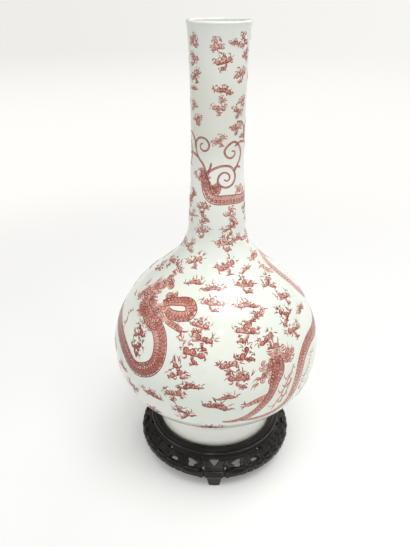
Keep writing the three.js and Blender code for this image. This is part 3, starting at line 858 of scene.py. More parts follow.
# Where each dragon lies, as keys of (azimuth, height, width). The left and right ones go on over the
# back. The manes are places of (azimuth, height), and the fringes are hairy strands beside the bodies.
LEFT_RING = [
    (-58, 192, 10), (-49, 187, 12), (-40, 184, 12.5), (-34.5, 178, 13), (-32, 169.5, 13), (-32, 160, 13),
    (-34.5, 152, 13), (-39.5, 146, 13), (-45.5, 143, 13), (-51, 145.5, 12.5), (-57, 150.5, 12.5),
    (-64, 155, 12.5), (-71, 158.5, 12.5), (-79, 161.5, 12.5), (-88, 163, 12.5), (-98, 163.5, 12.5),
    (-109, 163, 12), (-121, 161.5, 12), (-130, 155, 11.5), (-132, 144, 11), (-126, 134.5, 10.5),
    (-116, 128.5, 10), (-105, 125, 9), (-95, 119, 7.5), (-89, 110, 6), (-91, 102, 4.5), (-99, 97, 3),
    (-108, 94, 1.2),
]
LEFT_LOOP = [
    (-43, 199, 6.5), (-37.5, 202, 7), (-32, 203.4, 7.6), (-26.5, 204.6, 8.2), (-21.3, 204.2, 9.2),
    (-18.5, 201, 9.8), (-19.5, 197.6, 9.3), (-23.5, 195.8, 8.8), (-28, 195, 8.6), (-33, 195.2, 7.6),
    (-37, 196.5, 6),
]
RIGHT_BODY = [
    (34, 163, 9), (34.5, 156, 12), (33.5, 149.5, 12.5), (31.3, 142.5, 10), (30, 135, 8), (27.8, 127, 7.4),
    (24.4, 120, 7.2), (20.8, 113.5, 6.6), (16, 108, 5.4), (11, 105.2, 4), (7, 104.6, 2.6),
    (4, 105.2, 1.2),
]
RIGHT_COIL = [
    (114, 161, 9), (107, 160.5, 10.5), (101, 159.5, 11), (92, 158.5, 11), (81, 157.3, 11),
    (72, 157.5, 11), (64, 158, 11), (57.5, 155, 11), (52.5, 149, 11), (49.3, 140, 10.5), (47, 129, 10),
    (44.5, 118, 9), (41, 109, 7.5), (35, 104, 6), (27, 102.6, 4.5), (19, 103.4, 3), (13, 104.8, 1.4),
]
BACK_BODY = [
    (122, 205, 6), (115, 213, 8), (105, 220, 9), (96, 221, 9.5), (89, 216, 9.5), (86.5, 207, 9.5),
    (87, 197, 9.5), (89, 188, 10), (94, 180, 10.5), (102, 176, 11), (112, 170, 11.5), (117, 160, 11.5),
    (119, 150, 11.5), (124, 142, 11), (131, 138, 11), (140, 139, 11), (151, 146, 11), (162, 152, 11),
    (173, 154, 10.5), (184, 149, 9.5), (192, 139, 8.5), (196, 127, 7), (193, 115, 5.5), (186, 106, 4),
    (177, 100, 2.5), (169, 98, 1),
]
FAR_BODY = [
    (178, 206, 8), (189, 203, 9.5), (199, 195, 10), (204, 184, 10), (211, 174, 9.5), (216, 162, 8.5),
    (215, 150, 7), (209, 141, 5), (203, 134, 3), (199, 127, 1.2),
]
LEFT_MANE = [
    (-70, 193), (-68, 198), (-63, 203), (-60, 208), (-55, 212), (-53, 206), (-55, 200), (-48, 209),
    (-39, 206), (-43, 203), (-53, 195), (-61, 191), (-53, 189), (-46, 190), (-48, 185), (-46, 195),
    (-40, 199), (-38, 190), (-43, 183), (-50, 214), (-63, 197), (-57, 187),
]
RIGHT_MANE = [
    (30, 161), (34, 161), (26, 154), (31, 152), (24, 149), (36, 154), (26, 158), (29, 147), (41, 159),
    (45, 161),
]

MANE_WASHES = [
    ([(-69, 192, 9), (-66, 200, 13), (-58, 208, 14), (-50, 211, 9)], 0.06),
    ([(-62, 188, 9), (-55, 192, 16), (-47, 193, 16), (-40, 198, 12), (-38, 205, 8)], 0.1),
    ([(-52, 184, 8), (-45, 186, 12), (-38, 190, 9), (-33, 191, 6)], 0.08),
    ([(37, 165, 6), (32, 160, 13), (29.5, 153, 13), (27, 148, 7)], 0.05),
]
FRINGES = [
    ([(45, 150, 3), (42, 143, 4), (39, 136, 4), (37, 129, 3.5), (35, 121, 3), (31, 113, 2)], -0.04),
    ([(43, 138, 3), (40.5, 131, 3.5), (38.5, 123, 3), (36, 115, 2)], -0.08),
    ([(66, 148, 2.6), (60, 138, 3), (55, 128, 2.6), (50, 117, 2)], -0.2),
    ([(-66, 182, 3), (-69, 177, 3.5), (-67, 169, 3), (-68, 163, 2)], 0),
    ([(-24, 182, 3), (-20, 180, 3), (-17, 180.5, 2)], -0.1),
]

dragon_art = Painting()
back_art = Painting()
pupil_art = Painting()
# The left ring's tones deepen towards its bottom: painted shade.
paint_body(dragon_art, LEFT_RING, -1, ((120, 0), (141, 0.3), (152, 0.26), (168, 0.06), (190, -0.05)))
paint_body(dragon_art, LEFT_LOOP, -1)
paint_body(dragon_art, RIGHT_BODY, 1, ((104, -0.08), (135, 0), (146, 0.1), (160, 0)))
paint_body(dragon_art, RIGHT_COIL, 1, ((103, -0.12), (130, -0.2), (148, 0), (158, 0.06)))
paint_body(back_art, BACK_BODY, 1, ((150, -0.04), (175, -0.1), (190, -0.22), (206, -0.3)))
paint_body(back_art, FAR_BODY, -1)

paint_leg(dragon_art, [(-34, 190, 4.5), (-28, 188.6, 5.5), (-21.5, 186.5, 4.5)])
paint_leg(dragon_art, [(28, 130, 5.5), (22, 128, 5), (16, 124.5, 4)], (150, 185, 220, 120), -0.06)
paint_leg(dragon_art, [(80, 212, 5), (74, 214.5, 4.5), (68, 220, 3.6)], (20, 60, 100, 140), -0.3)
paint_leg(back_art, [(104, 221, 6), (112, 230, 5.5), (121, 229, 4)], (-60, -20, 20, 60), -0.2)
paint_leg(back_art, [(116, 151, 6), (107, 146, 5.5), (99, 138, 4)])
paint_leg(back_art, [(150, 150, 6), (156, 162, 5.5), (151, 172, 4)], (60, 95, 130, 165))
paint_leg(back_art, [(186, 146, 5.5), (178, 138, 5), (171, 130, 4)])
paint_leg(back_art, [(203, 190, 5), (213, 195, 5), (221, 190, 3.6)], (-60, -20, 20, 60))
paint_leg(back_art, [(-121, 163, 6), (-130, 171, 5.5), (-140, 169, 4)], (-150, 170, 130, -110))
paint_leg(back_art, [(-116, 127, 5), (-126, 121, 5), (-134, 113, 4)])
for keys, dark in FRINGES:
    paint_fringe(dragon_art, keys, dark)
paint_cloud(dragon_art, (-50.5, 173.5), 0.95, "plume", 1, 0.16)
paint_cloud(dragon_art, (-47.8, 160.5), 1.0, "plume", -1, 0.24)
for keys, tone in MANE_WASHES:
    dragon_art.stroke(*limb_path(keys), tone)

paint_tuft(dragon_art, LEFT_MANE, 0.95, 0)
paint_head(dragon_art, pupil_art, (-58, 197), 0.95, 12, -0.04)
paint_head(dragon_art, pupil_art, (35.5, 168), 0.85, -8, 0.0)
paint_head(back_art, pupil_art, (172, 204), 1.0, 10)
paint_tuft(dragon_art, RIGHT_MANE, 0.8, 0.06)

# Flames as (place, angle, length, dark): on the front in their own tones, behind in one.
for flame in (
    ((-74, 199), 110, 12, -0.15), ((-66, 206), 80, 11, -0.12), ((-76, 188), 160, 11, -0.12),
    ((39, 158), 28, 17, 0), ((40, 161), 50, 13, -0.06), ((40, 155), 8, 13, -0.06),
    ((24, 150), -170, 10, 0), ((22, 146), -150, 10, 0), ((74, 178), 80, 10, -0.1),
):
    paint_flame(dragon_art, *flame)
for flame in (
    ((160, 206), 160, 14), ((164, 214), 110, 13), ((178, 214), 70, 12), ((119, 207), 20, 14),
    ((116, 203), -30, 13), ((108, 152), -160, 12), ((150, 160), 110, 12), ((184, 150), 20, 12),
    ((122, 168), 10, 13), ((-106, 171), 100, 13), ((-133, 163), 150, 12), ((-108, 117), -60, 12),
    ((-124, 145), 30, 12), ((214, 176), 10, 12),
):
    paint_flame(back_art, *flame)


def blue_black_finish():
    """Blue-black enamel, dabbed on each pupil."""
    material, tree, feed = new_finish("blue black enamel", 0.18, IOR=1.5)
    grain = between(tree, noise(tree, object_place(tree), 900.0), 0.35, 0.7)
    feed("Base Color", mix_colours(tree, grain, srgb(18, 26, 44), srgb(44, 58, 84)))
    return material


dragon_art.piece("painted_front_dragons", iron_red)
back_art.piece("painted_back_dragons", iron_red)
pupil_art.piece("painted_dragon_pupils", blue_black_finish())


# Where the clouds stand on the front, as (azimuth, height, size, layout, way). Behind, they stand in
# staggered rows wherever the dragons leave room.
BODY_CLOUDS = [
    (-33, 231, 0.85, "pair", 1), (-53, 222, 0.75, "pair", -1), (-24, 217, 0.85, "streak", 1),
    (-3, 215, 0.95, "streak", 1), (-3, 206, 0.95, "band", -1), (-10, 192, 0.95, "band", 1),
    (-7, 182, 1, "pair", -1), (-12, 172, 1.1, "pair", -1), (-20, 156, 1.15, "plume", 1),
    (-12, 145, 1, "streak", -1), (-21, 134, 1, "pair", 1), (-34, 124, 1, "streak", -1),
    (-16, 112, 1.15, "plume", 1), (-3, 93, 1.1, "streak", 1), (6, 136, 0.85, "streak", 1),
    (1, 126, 1.25, "streak", 1), (12, 153, 1.15, "band", -1), (7, 164, 0.95, "pair", 1),
    (17, 171, 1.05, "plume", -1), (19, 187, 1.15, "band", 1), (24, 203, 1.05, "streak", -1),
    (29, 195, 1, "streak", 1), (31, 178, 0.95, "pair", 1), (51, 188, 1.1, "plume", 1),
    (53, 175, 1, "pair", -1), (30, 215, 1, "band", -1), (40, 224, 0.7, "streak", 1),
    (15, 229, 1, "pair", 1), (58, 210, 1, "plume", -1), (62, 198, 1, "pair", -1),
    (69, 229, 0.9, "streak", 1), (70, 182, 0.8, "streak", -1), (-60, 130, 0.9, "streak", 1),
    (-50, 116, 0.9, "pair", -1), (-86, 212, 0.9, "plume", 1), (-74, 222, 0.85, "pair", 1),
    (60, 104, 0.9, "pair", 1), (-77, 136, 1, "band", 1), (-74, 112, 1, "pair", 1),
    (-36, 100, 0.9, "band", 1),
]
SHOULDER_CLOUDS = [
    (-30, 257, 0.75, "band", 1), (-53, 240, 0.75, "plume", -1), (26, 260, 0.75, "pair", 1),
    (15, 247, 0.9, "band", -1), (48, 248, 0.75, "streak", -1), (80, 246, 0.8, "band", 1),
    (112, 240, 0.8, "pair", -1), (140, 248, 0.75, "plume", 1), (168, 240, 0.85, "band", -1),
    (196, 248, 0.8, "pair", 1), (222, 240, 0.8, "streak", 1), (248, 248, 0.75, "band", 1),
    (274, 240, 0.8, "pair", -1), (88, 263, 0.7, "pair", 1), (130, 268, 0.7, "band", 1),
    (172, 262, 0.7, "streak", -1), (214, 268, 0.7, "pair", -1), (256, 263, 0.7, "band", -1),
    (298, 268, 0.7, "pair", 1),
]
BACK_ROWS = (229, 214, 199, 184, 169, 154, 139, 124, 109, 96)
BACK_AZIMUTHS = (80, 268)
CLOUD_SPACING = 27
CLOUD_ROOM = 15.5
HEADS_AND_CLAWS = [
    (172, 204), (172, 213), (172, 192), (121, 229), (99, 138), (151, 172), (171, 130), (221, 190),
    (-140, 169), (-134, 113), (-59, 196),
]
bodies = (LEFT_RING, LEFT_LOOP, RIGHT_BODY, RIGHT_COIL, BACK_BODY, FAR_BODY)
body_paths = [limb_path(keys)[0] for keys in bodies]
taken = on_glaze(*np.concatenate([*body_paths, spots(HEADS_AND_CLAWS)]).T, 0)


def has_room(place):
    """Says whether a place on the glaze is further than a cloud's room from every dragon."""
    point = on_glaze(*spots([place]).T, 0)
    return np.linalg.norm(taken - point, axis=-1).min() > CLOUD_ROOM * MM


body_art = Painting()
paint_clouds(body_art, BODY_CLOUDS)
body_art.piece("painted_front_clouds", iron_red)

rear_art = Painting()
for row, height in enumerate(BACK_ROWS):
    count = int(2 * np.pi * radius_of(along_of(height)) / CLOUD_SPACING)
    for turn in np.arange(count) + 0.5 * (row % 2):
        place = (360 * turn / count, height + random.uniform(-2, 2))
        layout = random.choice(list(CLOUD_LAYOUTS))
        way = random.choice((-1, 1))
        size = random.uniform(0.85, 1.15)
        if BACK_AZIMUTHS[0] < place[0] < BACK_AZIMUTHS[1] and has_room(place):
            paint_cloud(rear_art, place, size, layout, way)
paint_clouds(rear_art, SHOULDER_CLOUDS)
rear_art.piece("painted_back_clouds", iron_red)


# The neck: a scaled tail band winds round its root, and ribbon scrolls rise from it, with clouds over and
# under. The scrolls are lines of (azimuth, height) and stand three times round the neck.
NECK_BAND = [
    (-33, 311, 3), (-28, 306, 5.2), (-25, 300, 7), (-22.5, 294, 7.6), (-16, 289, 7.8), (-6, 286.6, 7.8),
    (8, 286, 7.8), (22, 286, 7.8), (38, 285.5, 7.6), (58, 284.5, 7.4), (84, 285, 7), (110, 290, 7),
    (132, 297, 7), (152, 301, 7), (174, 300, 7), (196, 294, 6.6), (220, 287, 6), (246, 283, 5),
    (272, 282, 4), (292, 284, 2.8), (306, 288, 1.2),
]
SCROLLS = [
    [
        (-24, 305), (-25, 310), (-31, 316), (-42, 320.5), (-49, 325), (-51, 330), (-49, 335), (-39, 338),
        (-26, 337.5), (-18, 333.5), (-21, 329), (-30, 327.5), (-38, 329.5), (-38, 332.5), (-32, 333.5),
    ],
    [(-49, 325), (-53, 331), (-56, 336), (-66, 340), (-80, 341)],
    [(-44, 321.5), (-58, 323.5), (-70, 324), (-84, 321)],
    [
        (-25, 303), (-20, 309), (-8, 313), (10, 315.5), (27, 314.5), (37, 310), (39, 304), (32, 299),
        (18, 297), (6, 299), (1, 303), (5, 308), (15, 310), (24, 308), (26, 304.5), (20, 302.5),
        (14, 304),
    ],
    [
        (37, 310), (46, 315), (54, 320), (56, 326), (48, 332), (35, 335), (22, 332.5), (14, 328),
        (18, 323.5), (28, 321.5), (37, 323.5), (38, 327), (30, 327.5),
    ],
    [(-19, 310), (-15, 314), (-13, 318)],
    [(38, 312.5), (47, 313.5), (55, 312)],
]
NECK_TUFTS = [
    (-48, 306), (-41, 305), (-35, 309), (-36, 302), (-30, 305), (-29, 298), (-24, 307), (-23, 300),
    (-18, 296), (-12, 295), (-13, 299), (-5, 295.5), (-7, 299), (2, 294.5), (5, 294.5), (44, 292.5),
    (51, 295), (68, 291), (84, 292), (102, 296), (120, 302), (140, 308), (162, 308), (184, 305),
    (204, 299), (224, 293), (242, 290), (260, 288),
]
NECK_CLOUDS = [
    (-51, 411, 0.68, "plume", -1), (-55, 398, 0.68, "plume", 1), (-51, 386, 0.68, "pair", 1),
    (-56, 376, 0.45, "streak", -1), (-57, 363, 0.55, "plume", 1), (-46, 352, 0.62, "plume", -1),
    (-3, 409, 0.68, "plume", 1), (10, 397.5, 0.78, "band", 1), (10, 376, 0.8, "streak", 1),
    (1, 362, 0.62, "pair", -1), (8, 369, 0.4, "plume", 1), (51, 411, 0.7, "plume", 1),
    (30, 410, 0.5, "streak", -1), (61, 401, 0.6, "plume", -1), (49, 387, 0.72, "band", 1),
    (56, 366, 0.6, "plume", -1), (44, 359, 0.6, "pair", -1), (41, 346, 0.6, "pair", 1),
    (3, 337, 0.62, "pair", 1), (62, 338, 0.5, "streak", 1), (-29, 279, 0.66, "band", 1),
    (-27, 268.5, 0.6, "plume", 1), (27, 274, 0.68, "plume", -1), (33, 264.5, 0.62, "plume", 1),
    (-58, 289, 0.5, "plume", 1), (-72, 280, 0.6, "pair", 1), (76, 274, 0.65, "band", 1),
]

SCROLL_GROUPS = ((0, 0), (122, 10), (236, 0))
SCROLL_WIDTH = 1.8
NECK_STYLE = {"full": 1.2, "hairs": 0.6}

neck_art = Painting()
paint_body(neck_art, NECK_BAND, 1, ((280, -0.02), (310, -0.06)))
for turn, raised in SCROLL_GROUPS:
    for scroll in SCROLLS:
        places = np.array(scroll, float) + (turn, raised)
        path, width = limb_path(np.column_stack([places, np.full(len(places), SCROLL_WIDTH)]))
        width = width * np.interp(np.linspace(0, 1, len(path)), [0, 0.1, 0.8, 1], [1, 1, 0.8, 0.4])
        neck_art.stroke(path, width, 0.28, WASH, 0.1)
        neck_art.stroke(beside(path, 0.4 * width), 0.62, 0.95, LINE)
        neck_art.stroke(beside(path, -0.4 * width), 0.45, 0.8, LINE)
paint_tuft(neck_art, NECK_TUFTS, 0.64, -0.06)
paint_clouds(neck_art, NECK_CLOUDS, dark=0.06, **NECK_STYLE)
for row, height in enumerate((409, 394, 379, 364, 349)):
    for azimuth in np.arange(100, 270, 46) + 23 * (row % 2):
        layout = random.choice(list(CLOUD_LAYOUTS))
        place = (azimuth, height + random.uniform(-2, 2))
        size = random.uniform(0.65, 0.85)
        paint_cloud(neck_art, place, size, layout, random.choice((-1, 1)), 0.12, **NECK_STYLE)
neck_art.piece("painted_neck", iron_red)


# The stand is a dense hardwood, stained near black and waxed. The wax catches the light on every round
# edge. Every convex edge is painted a brownish grey, partly the rubbing of handling on the rim and partly a
# painted highlight. Its ring is turned, with beads and grooves.
def hardwood_finish(name, dark, light, worn_and_lit_colour, satin):
    """Near-black wood with a long grain, brownish grey where wear_and_sheen is high, as rubbing and painted
    highlight, all satin.
    """
    material, tree, feed = new_finish(name, 0.36, IOR=1.34)
    place = object_place(tree)
    stretched = wire(tree, "Mapping", {"Vector": place, "Scale": (1.0, 1.0, 7.0)})
    grain = noise(tree, stretched, 150.0, 6.0, 0.65)
    broad = noise(tree, place, 60.0, 3.0)
    wood = mix_colours(tree, between(tree, grain, 0.35, 0.7), srgb(*dark), srgb(*light))
    wear_and_sheen = wire(tree, "Attribute", {}, output=2, attribute_name="wear_and_sheen")
    # Painted highlight and rubbing: a brownish grey on the convex edges.
    rubbed_and_lit = product(tree, between(tree, wear_and_sheen, 0.15, 0.9), between(tree, broad, 0.3, 0.62))
    feed("Base Color", mix_colours(tree, rubbed_and_lit, wood, srgb(*worn_and_lit_colour)))
    rough = calculate(tree, "MULTIPLY_ADD", grain, 0.22, satin)
    feed("Roughness", calculate(tree, "MULTIPLY_ADD", wear_and_sheen, -0.06, rough))
    feed("Normal", relief(tree, grain, 0.25, 0.12))
    return material


EDGE_CURVE = 650


def points_of(mesh):
    """The mesh's points as an array, a row each."""
    points = np.zeros(3 * len(mesh.vertices))
    mesh.vertices.foreach_get("co", points)
    return points.reshape(-1, 3)


def normals_of(mesh):
    """The mesh's normals at its points, a row each."""
    return np.array([tuple(vertex.normal) for vertex in mesh.vertices])


def rub_and_light_edges(mesh, kept=1):
    """Stores each point's wear_and_sheen, from -1 in a hollow to 1 on an edge, as it stands to its
    neighbours.

    The curve at a point is the mean of -2 (step . normal) / (step . step) over its edges, per metre. The
    wear_and_sheen is that over the curve of a sharp edge, smoothed once along the edges, times the share
    kept.
    On edges it stands for rubbing and for a painted highlight.
    """
    count = len(mesh.vertices)
    points = points_of(mesh)
    ends = np.zeros(2 * len(mesh.edges), np.int32)
    mesh.edges.foreach_get("vertices", ends)
    start, end = np.concatenate([ends.reshape(-1, 2), ends.reshape(-1, 2)[:, ::-1]]).T
    step = points[end] - points[start]
    rise = -2 * (step * normals_of(mesh)[start]).sum(-1) / np.maximum((step**2).sum(-1), 1e-12)
    share = np.maximum(np.bincount(start, minlength=count), 1)
    curve = np.bincount(start, rise, count) / share
    curve = 0.5 * curve + 0.5 * np.bincount(start, curve[end], count) / share
    # Rubbing and a painted highlight on the edges, read by the wood's finish.
    wear_and_sheen = mesh.attributes.new("wear_and_sheen", "FLOAT", "POINT")
    wear_and_sheen.data.foreach_set("value", np.clip(kept * curve / EDGE_CURVE, -1, 1).astype(np.float32))


# The third colour of each is the brownish grey of the edges: rubbing and a painted highlight.
hardwood = hardwood_finish("waxed blackwood", (15, 13, 14), (31, 27, 26), (78, 72, 67), 0.24)
plain_wood = hardwood_finish("unwaxed blackwood", (24, 20, 18), (44, 37, 32), (60, 52, 46), 0.42)
RING_COLUMNS = 240
RING_OPENING = 50
RING_SKIRT = 57
RING_WAIST = 67.3
LEDGE_RADIUS = 54
SEAT_RADIUS = 60.3
SEAT_DEPTH = 4.5
OUTER_BEAD = 1.2
INNER_BEAD = 1.2
ring_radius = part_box("seat_ring")[1].x / MM
ring_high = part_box("seat_ring")[1].z / MM
ring_low = ring_high - 10.6
ledge_height = ring_high - 7.8
underside = ring_high - 7.2
bead_height = ring_high - 4.5
seat_floor = ring_high - SEAT_DEPTH


def hollow_of(*keys):
    """The keys of a moulding's curve, given as (radius, height over the outer bead)."""
    return [(radius, bead_height + rise) for radius, rise in keys]


ring_section = np.concatenate([
    [(RING_OPENING, ring_low), (RING_SKIRT, ring_low), (RING_SKIRT, underside), (65.8, underside)],
    bezier((65.8, underside), (66.6, underside), (67.2, underside + 0.5), (RING_WAIST, underside + 1.4), 4),
    round_edge((ring_radius - OUTER_BEAD, bead_height), OUTER_BEAD, -65, 95, 10),
    bezier(*hollow_of((RING_WAIST, 0.9), (66.8, 0.7), (66.5, 0.8), (66.4, 1.5)), 4),
    bezier(*hollow_of((66.4, 1.5), (66.2, 3.2), (65, 3.8), (63.8, 4)), 10),
    bezier(*hollow_of((63.8, 4), (63.4, 3.4), (63, 3.4), (62.6, 4)), 6),
    round_edge((SEAT_RADIUS + INNER_BEAD, ring_high - INNER_BEAD), INNER_BEAD, 65, 180, 8),
    [(SEAT_RADIUS, seat_floor + 0.3), (SEAT_RADIUS - 0.3, seat_floor)],
    [(LEDGE_RADIUS + 0.3, seat_floor), (LEDGE_RADIUS, seat_floor - 0.3)],
    [(LEDGE_RADIUS, ledge_height), (RING_OPENING, ledge_height), (RING_OPENING, ring_low)],
])
ring = mesh_piece("turned_ring", *turned_surface(ring_section, RING_COLUMNS), hardwood, "stand", "hardwood")
rub_and_light_edges(ring.data)
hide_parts("seat_ring")


def refinish(node, material):
    """Gives a node of the frame a finish in place of its own."""
    node.data.materials.clear()
    node.data.materials.append(material)


refinish(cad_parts["seat_panel"], plain_wood)


# The aprons and legs are sawn and carved: a groove runs along the top of the slope, scrolls are cut
# beside the openings, and every edge is rounded. A low band runs behind the bars of the rim and joins
# them.
CARVING_VOXEL = 0.5
JOINT_CLOSE = 0.13
SLOPE_FOOT = 21.2
SLOPE_LEAN = 0.45
CARVED_DEPTH = 0.55
GROOVE_RADII = (68.1, 75.2)
GROOVE_WIDTH = 0.4
SCROLL_PITCH = 1.7
SCROLL_GROOVE = 0.42
SCROLL_FLATTENING = 1.2
# Each scroll is (angle from a leg, radius, size, way).
SCROLL_SPOTS = (
    (13.4, 71.2, 2.6, 1), (26.4, 71.4, 3.4, -1), (36.6, 71.6, 3, 1), (47.6, 71.8, 4.6, -1),
    (56.6, 71.6, 3, 1),
)
# The band's outside, bottom and top at an angle from an apron's middle. It ends beside the leg's block.
RIM_BAND = (
    (0, 79.5, 15, 20.4), (48.8, 79.5, 15, 20.4), (49.3, 80.1, 14.5, 22.6), (51.2, 80.1, 14.5, 22.6),
    (51.7, 78.7, 14.7, 20.4), (53.6, 78.5, 14.7, 20.4),
)
RIM_BAND_INSIDE = 75.8
RIM_BAND_STEPS = 240
RIM_GAPS = (25.2, 30.7, 40.2, 51.7, 60)
RIM_GAP_DEPTH = 0.7
RIM_GAP_WIDTH = 1.0
RIM_INSIDE = 76.5
# Where a leg meets its aprons there is neither rubbing nor painted highlight, over this height and at this
# distance from the leg's middle.
JOINT_HEIGHT = 20.5
JOINT_SIDE = 13.85
JOINT_HALF_WIDTH = 0.6


def from_leg(points):
    """Angle in degrees between each point and the nearest leg, about the axis."""
    azimuth = np.degrees(np.arctan2(points[:, 0], -points[:, 1]))
    return np.abs((azimuth + 60) % 120 - 60)


def rim_inset(points):
    """How far the rim is let in between its bars: a bell curve about the middle of each gap."""
    radius = np.hypot(points[:, 0], points[:, 1])
    angle = from_leg(points)
    bells = [np.exp(-(np.radians(angle - gap) * radius / RIM_GAP_WIDTH) ** 2) for gap in RIM_GAPS]
    return RIM_GAP_DEPTH * np.max(bells, axis=0) * np.clip((radius - RIM_INSIDE) / 2, 0, 1)


def carved_groove(points):
    """Depth of the carving at points in millimetres, mirrored about each leg.

    A scroll's groove is where the radius about its centre over the pitch, less the turn, is half way
    between two whole numbers. The long grooves follow two radii. Each is a bell curve across.
    """
    radius = np.hypot(points[:, 0], points[:, 1])
    angle = from_leg(points)
    depth = np.zeros(len(points))
    for centre_azimuth, centre_radius, size, way in SCROLL_SPOTS:
        across = np.radians(angle - centre_azimuth) * centre_radius
        up = SCROLL_FLATTENING * (radius - centre_radius)
        reach = np.hypot(across, up)
        turn = way * np.arctan2(up, across) / (2 * np.pi)
        off_line = np.abs((reach / SCROLL_PITCH - turn) % 1 - 0.5) * SCROLL_PITCH
        depth = np.maximum(depth, np.where(reach < size, np.exp(-(off_line / SCROLL_GROOVE) ** 2), 0))
    for groove_radius in GROOVE_RADII:
        depth = np.maximum(depth, np.exp(-((radius - groove_radius) / GROOVE_WIDTH) ** 2))
    return CARVED_DEPTH * depth


def add_rim_band(work, middle):
    """Adds the band to a mesh as a closed box section that follows the rim about an azimuth."""
    key_offset, *key_sizes = np.transpose(RIM_BAND)
    offset = np.linspace(-key_offset[-1], key_offset[-1], RIM_BAND_STEPS)
    azimuth = np.radians(middle + offset)[:, None]
    outside, bottom, top = (np.interp(np.abs(offset), key_offset, sizes) * MM for sizes in key_sizes)
    inside = np.full(len(offset), RIM_BAND_INSIDE * MM)
    reach = np.stack([inside, outside, outside, inside], 1)
    level = np.stack([bottom, bottom, top, top], 1)
    corners = np.stack([reach * np.sin(azimuth), -reach * np.cos(azimuth), level], -1)
    rows = [[work.verts.new(point) for point in row] for row in corners.tolist()]
    for row, after in zip(rows, rows[1:]):
        for at in range(4):
            work.faces.new((row[at - 1], row[at], after[at], after[at - 1]))
    work.faces.new(rows[0][::-1])
    work.faces.new(rows[-1])


def carved_piece(name, node_name, band_middle=None):
    """A fine copy of a node with round edges and carving on its slope, and a band about an azimuth."""
    work = bmesh.new()
    work.from_mesh(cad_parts[node_name].data)
    bmesh.ops.remove_doubles(work, verts=work.verts, dist=0.001 * MM)
    if band_middle is not None:
        add_rim_band(work, band_middle)
    bmesh.ops.recalc_face_normals(work, faces=work.faces)
    mesh = bpy.data.meshes.new(name)
    work.to_mesh(mesh)
    work.free()
    rough = put_in_scene(name + "_rough", mesh)
    remesh = rough.modifiers.new("remesh", "REMESH")
    remesh.mode = "VOXEL"
    remesh.voxel_size = CARVING_VOXEL * MM
    remesh.use_smooth_shade = True
    soften = rough.modifiers.new("soften", "SMOOTH")
    soften.factor = 0.5
    soften.iterations = 2
    fine = bpy.data.meshes.new_from_object(rough.evaluated_get(bpy.context.evaluated_depsgraph_get()))
    bpy.data.objects.remove(rough)
    fine.name = name
    points = points_of(fine)
    normals = normals_of(fine)
    on_slope = (normals[:, 2] > SLOPE_LEAN) & (points[:, 2] > SLOPE_FOOT * MM)
    depth = np.where(on_slope, carved_groove(points / MM), 0)
    points += (JOINT_CLOSE - depth)[:, None] * MM * normals
    radius = np.hypot(points[:, 0], points[:, 1])
    points[:, :2] *= (1 - rim_inset(points / MM) * MM / radius)[:, None]
    points[:, 2] = np.maximum(points[:, 2], 0)
    off_joint = np.abs(radius * np.sin(np.radians(from_leg(points))) / MM - JOINT_SIDE)
    kept = np.where(points[:, 2] > JOINT_HEIGHT * MM, np.clip(off_joint - JOINT_HALF_WIDTH, 0, 1), 1)
    fine.vertices.foreach_set("co", points.ravel())
    fine.materials.clear()
    fine.materials.append(hardwood)
    fine.update()
    rub_and_light_edges(fine, kept)
    piece = put_in_scene(name, fine)
    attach(piece, "stand")
    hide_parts(node_name)


for side, middle in (("right", 60), ("back", 180), ("left", -60)):
    carved_piece("carved_apron_" + side, "apron_" + side, middle)
for side in ("front", "right", "left"):
    carved_piece("carved_leg_" + side, "leg_" + side)


# Six bamboo pegs hold the aprons to the ring. They are split from the cane and left bare, and the fibres
# run along them.
def bamboo_finish():
    """Bare bamboo: pale straw with darker fibres along the peg."""
    material, tree, feed = new_finish("bare bamboo", 0.6)
    stretched = wire(tree, "Mapping", {"Vector": object_place(tree), "Scale": (1.0, 1.0, 0.12)})
    fibre = noise(tree, stretched, 2600.0, 3.0)
    straw = mix_colours(tree, between(tree, fibre, 0.4, 0.65), srgb(172, 138, 88), srgb(122, 92, 56))
    feed("Base Color", straw)
    feed("Normal", relief(tree, fibre, 0.3, 0.1))
    return material


bamboo = bamboo_finish()
for name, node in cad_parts.items():
    if name.startswith("peg_"):
        refinish(node, bamboo)


# The floor is a wide pale sheet under the stand. The camera and the glossy pieces see it lighter than it
# is lit, but less so under the stand, where that is a painted shade. It fades into a pale backdrop further
# off, and far off it is painted a grey shade, darker to the left.
FLOOR_RADIUS = 24.0
FLOOR_CORNERS = 96
FLOOR_FADES = (0.4, 0.95)
BACKDROP_FADES = (1.3, 4.0)
STAND_SHADE = (0.064, 0.08)
SHEET = (238, 237, 234)
SHEET_AS_SEEN = (0.61, 0.61, 0.605, 1.0)
LIFT_COLOUR = (1.0, 0.99, 0.965, 1.0)
LIFT_UNDER_STAND = 0.14
LIFT_ADDED_BESIDE = 0.185
BACKDROP_SHADE_LEFT = (238, 237, 233)
BACKDROP_SHADE_RIGHT = (247, 246, 242)
BACKDROP_NEAR = (255, 254, 251)
BACKDROP_BEARINGS = (-0.35, 0.35)


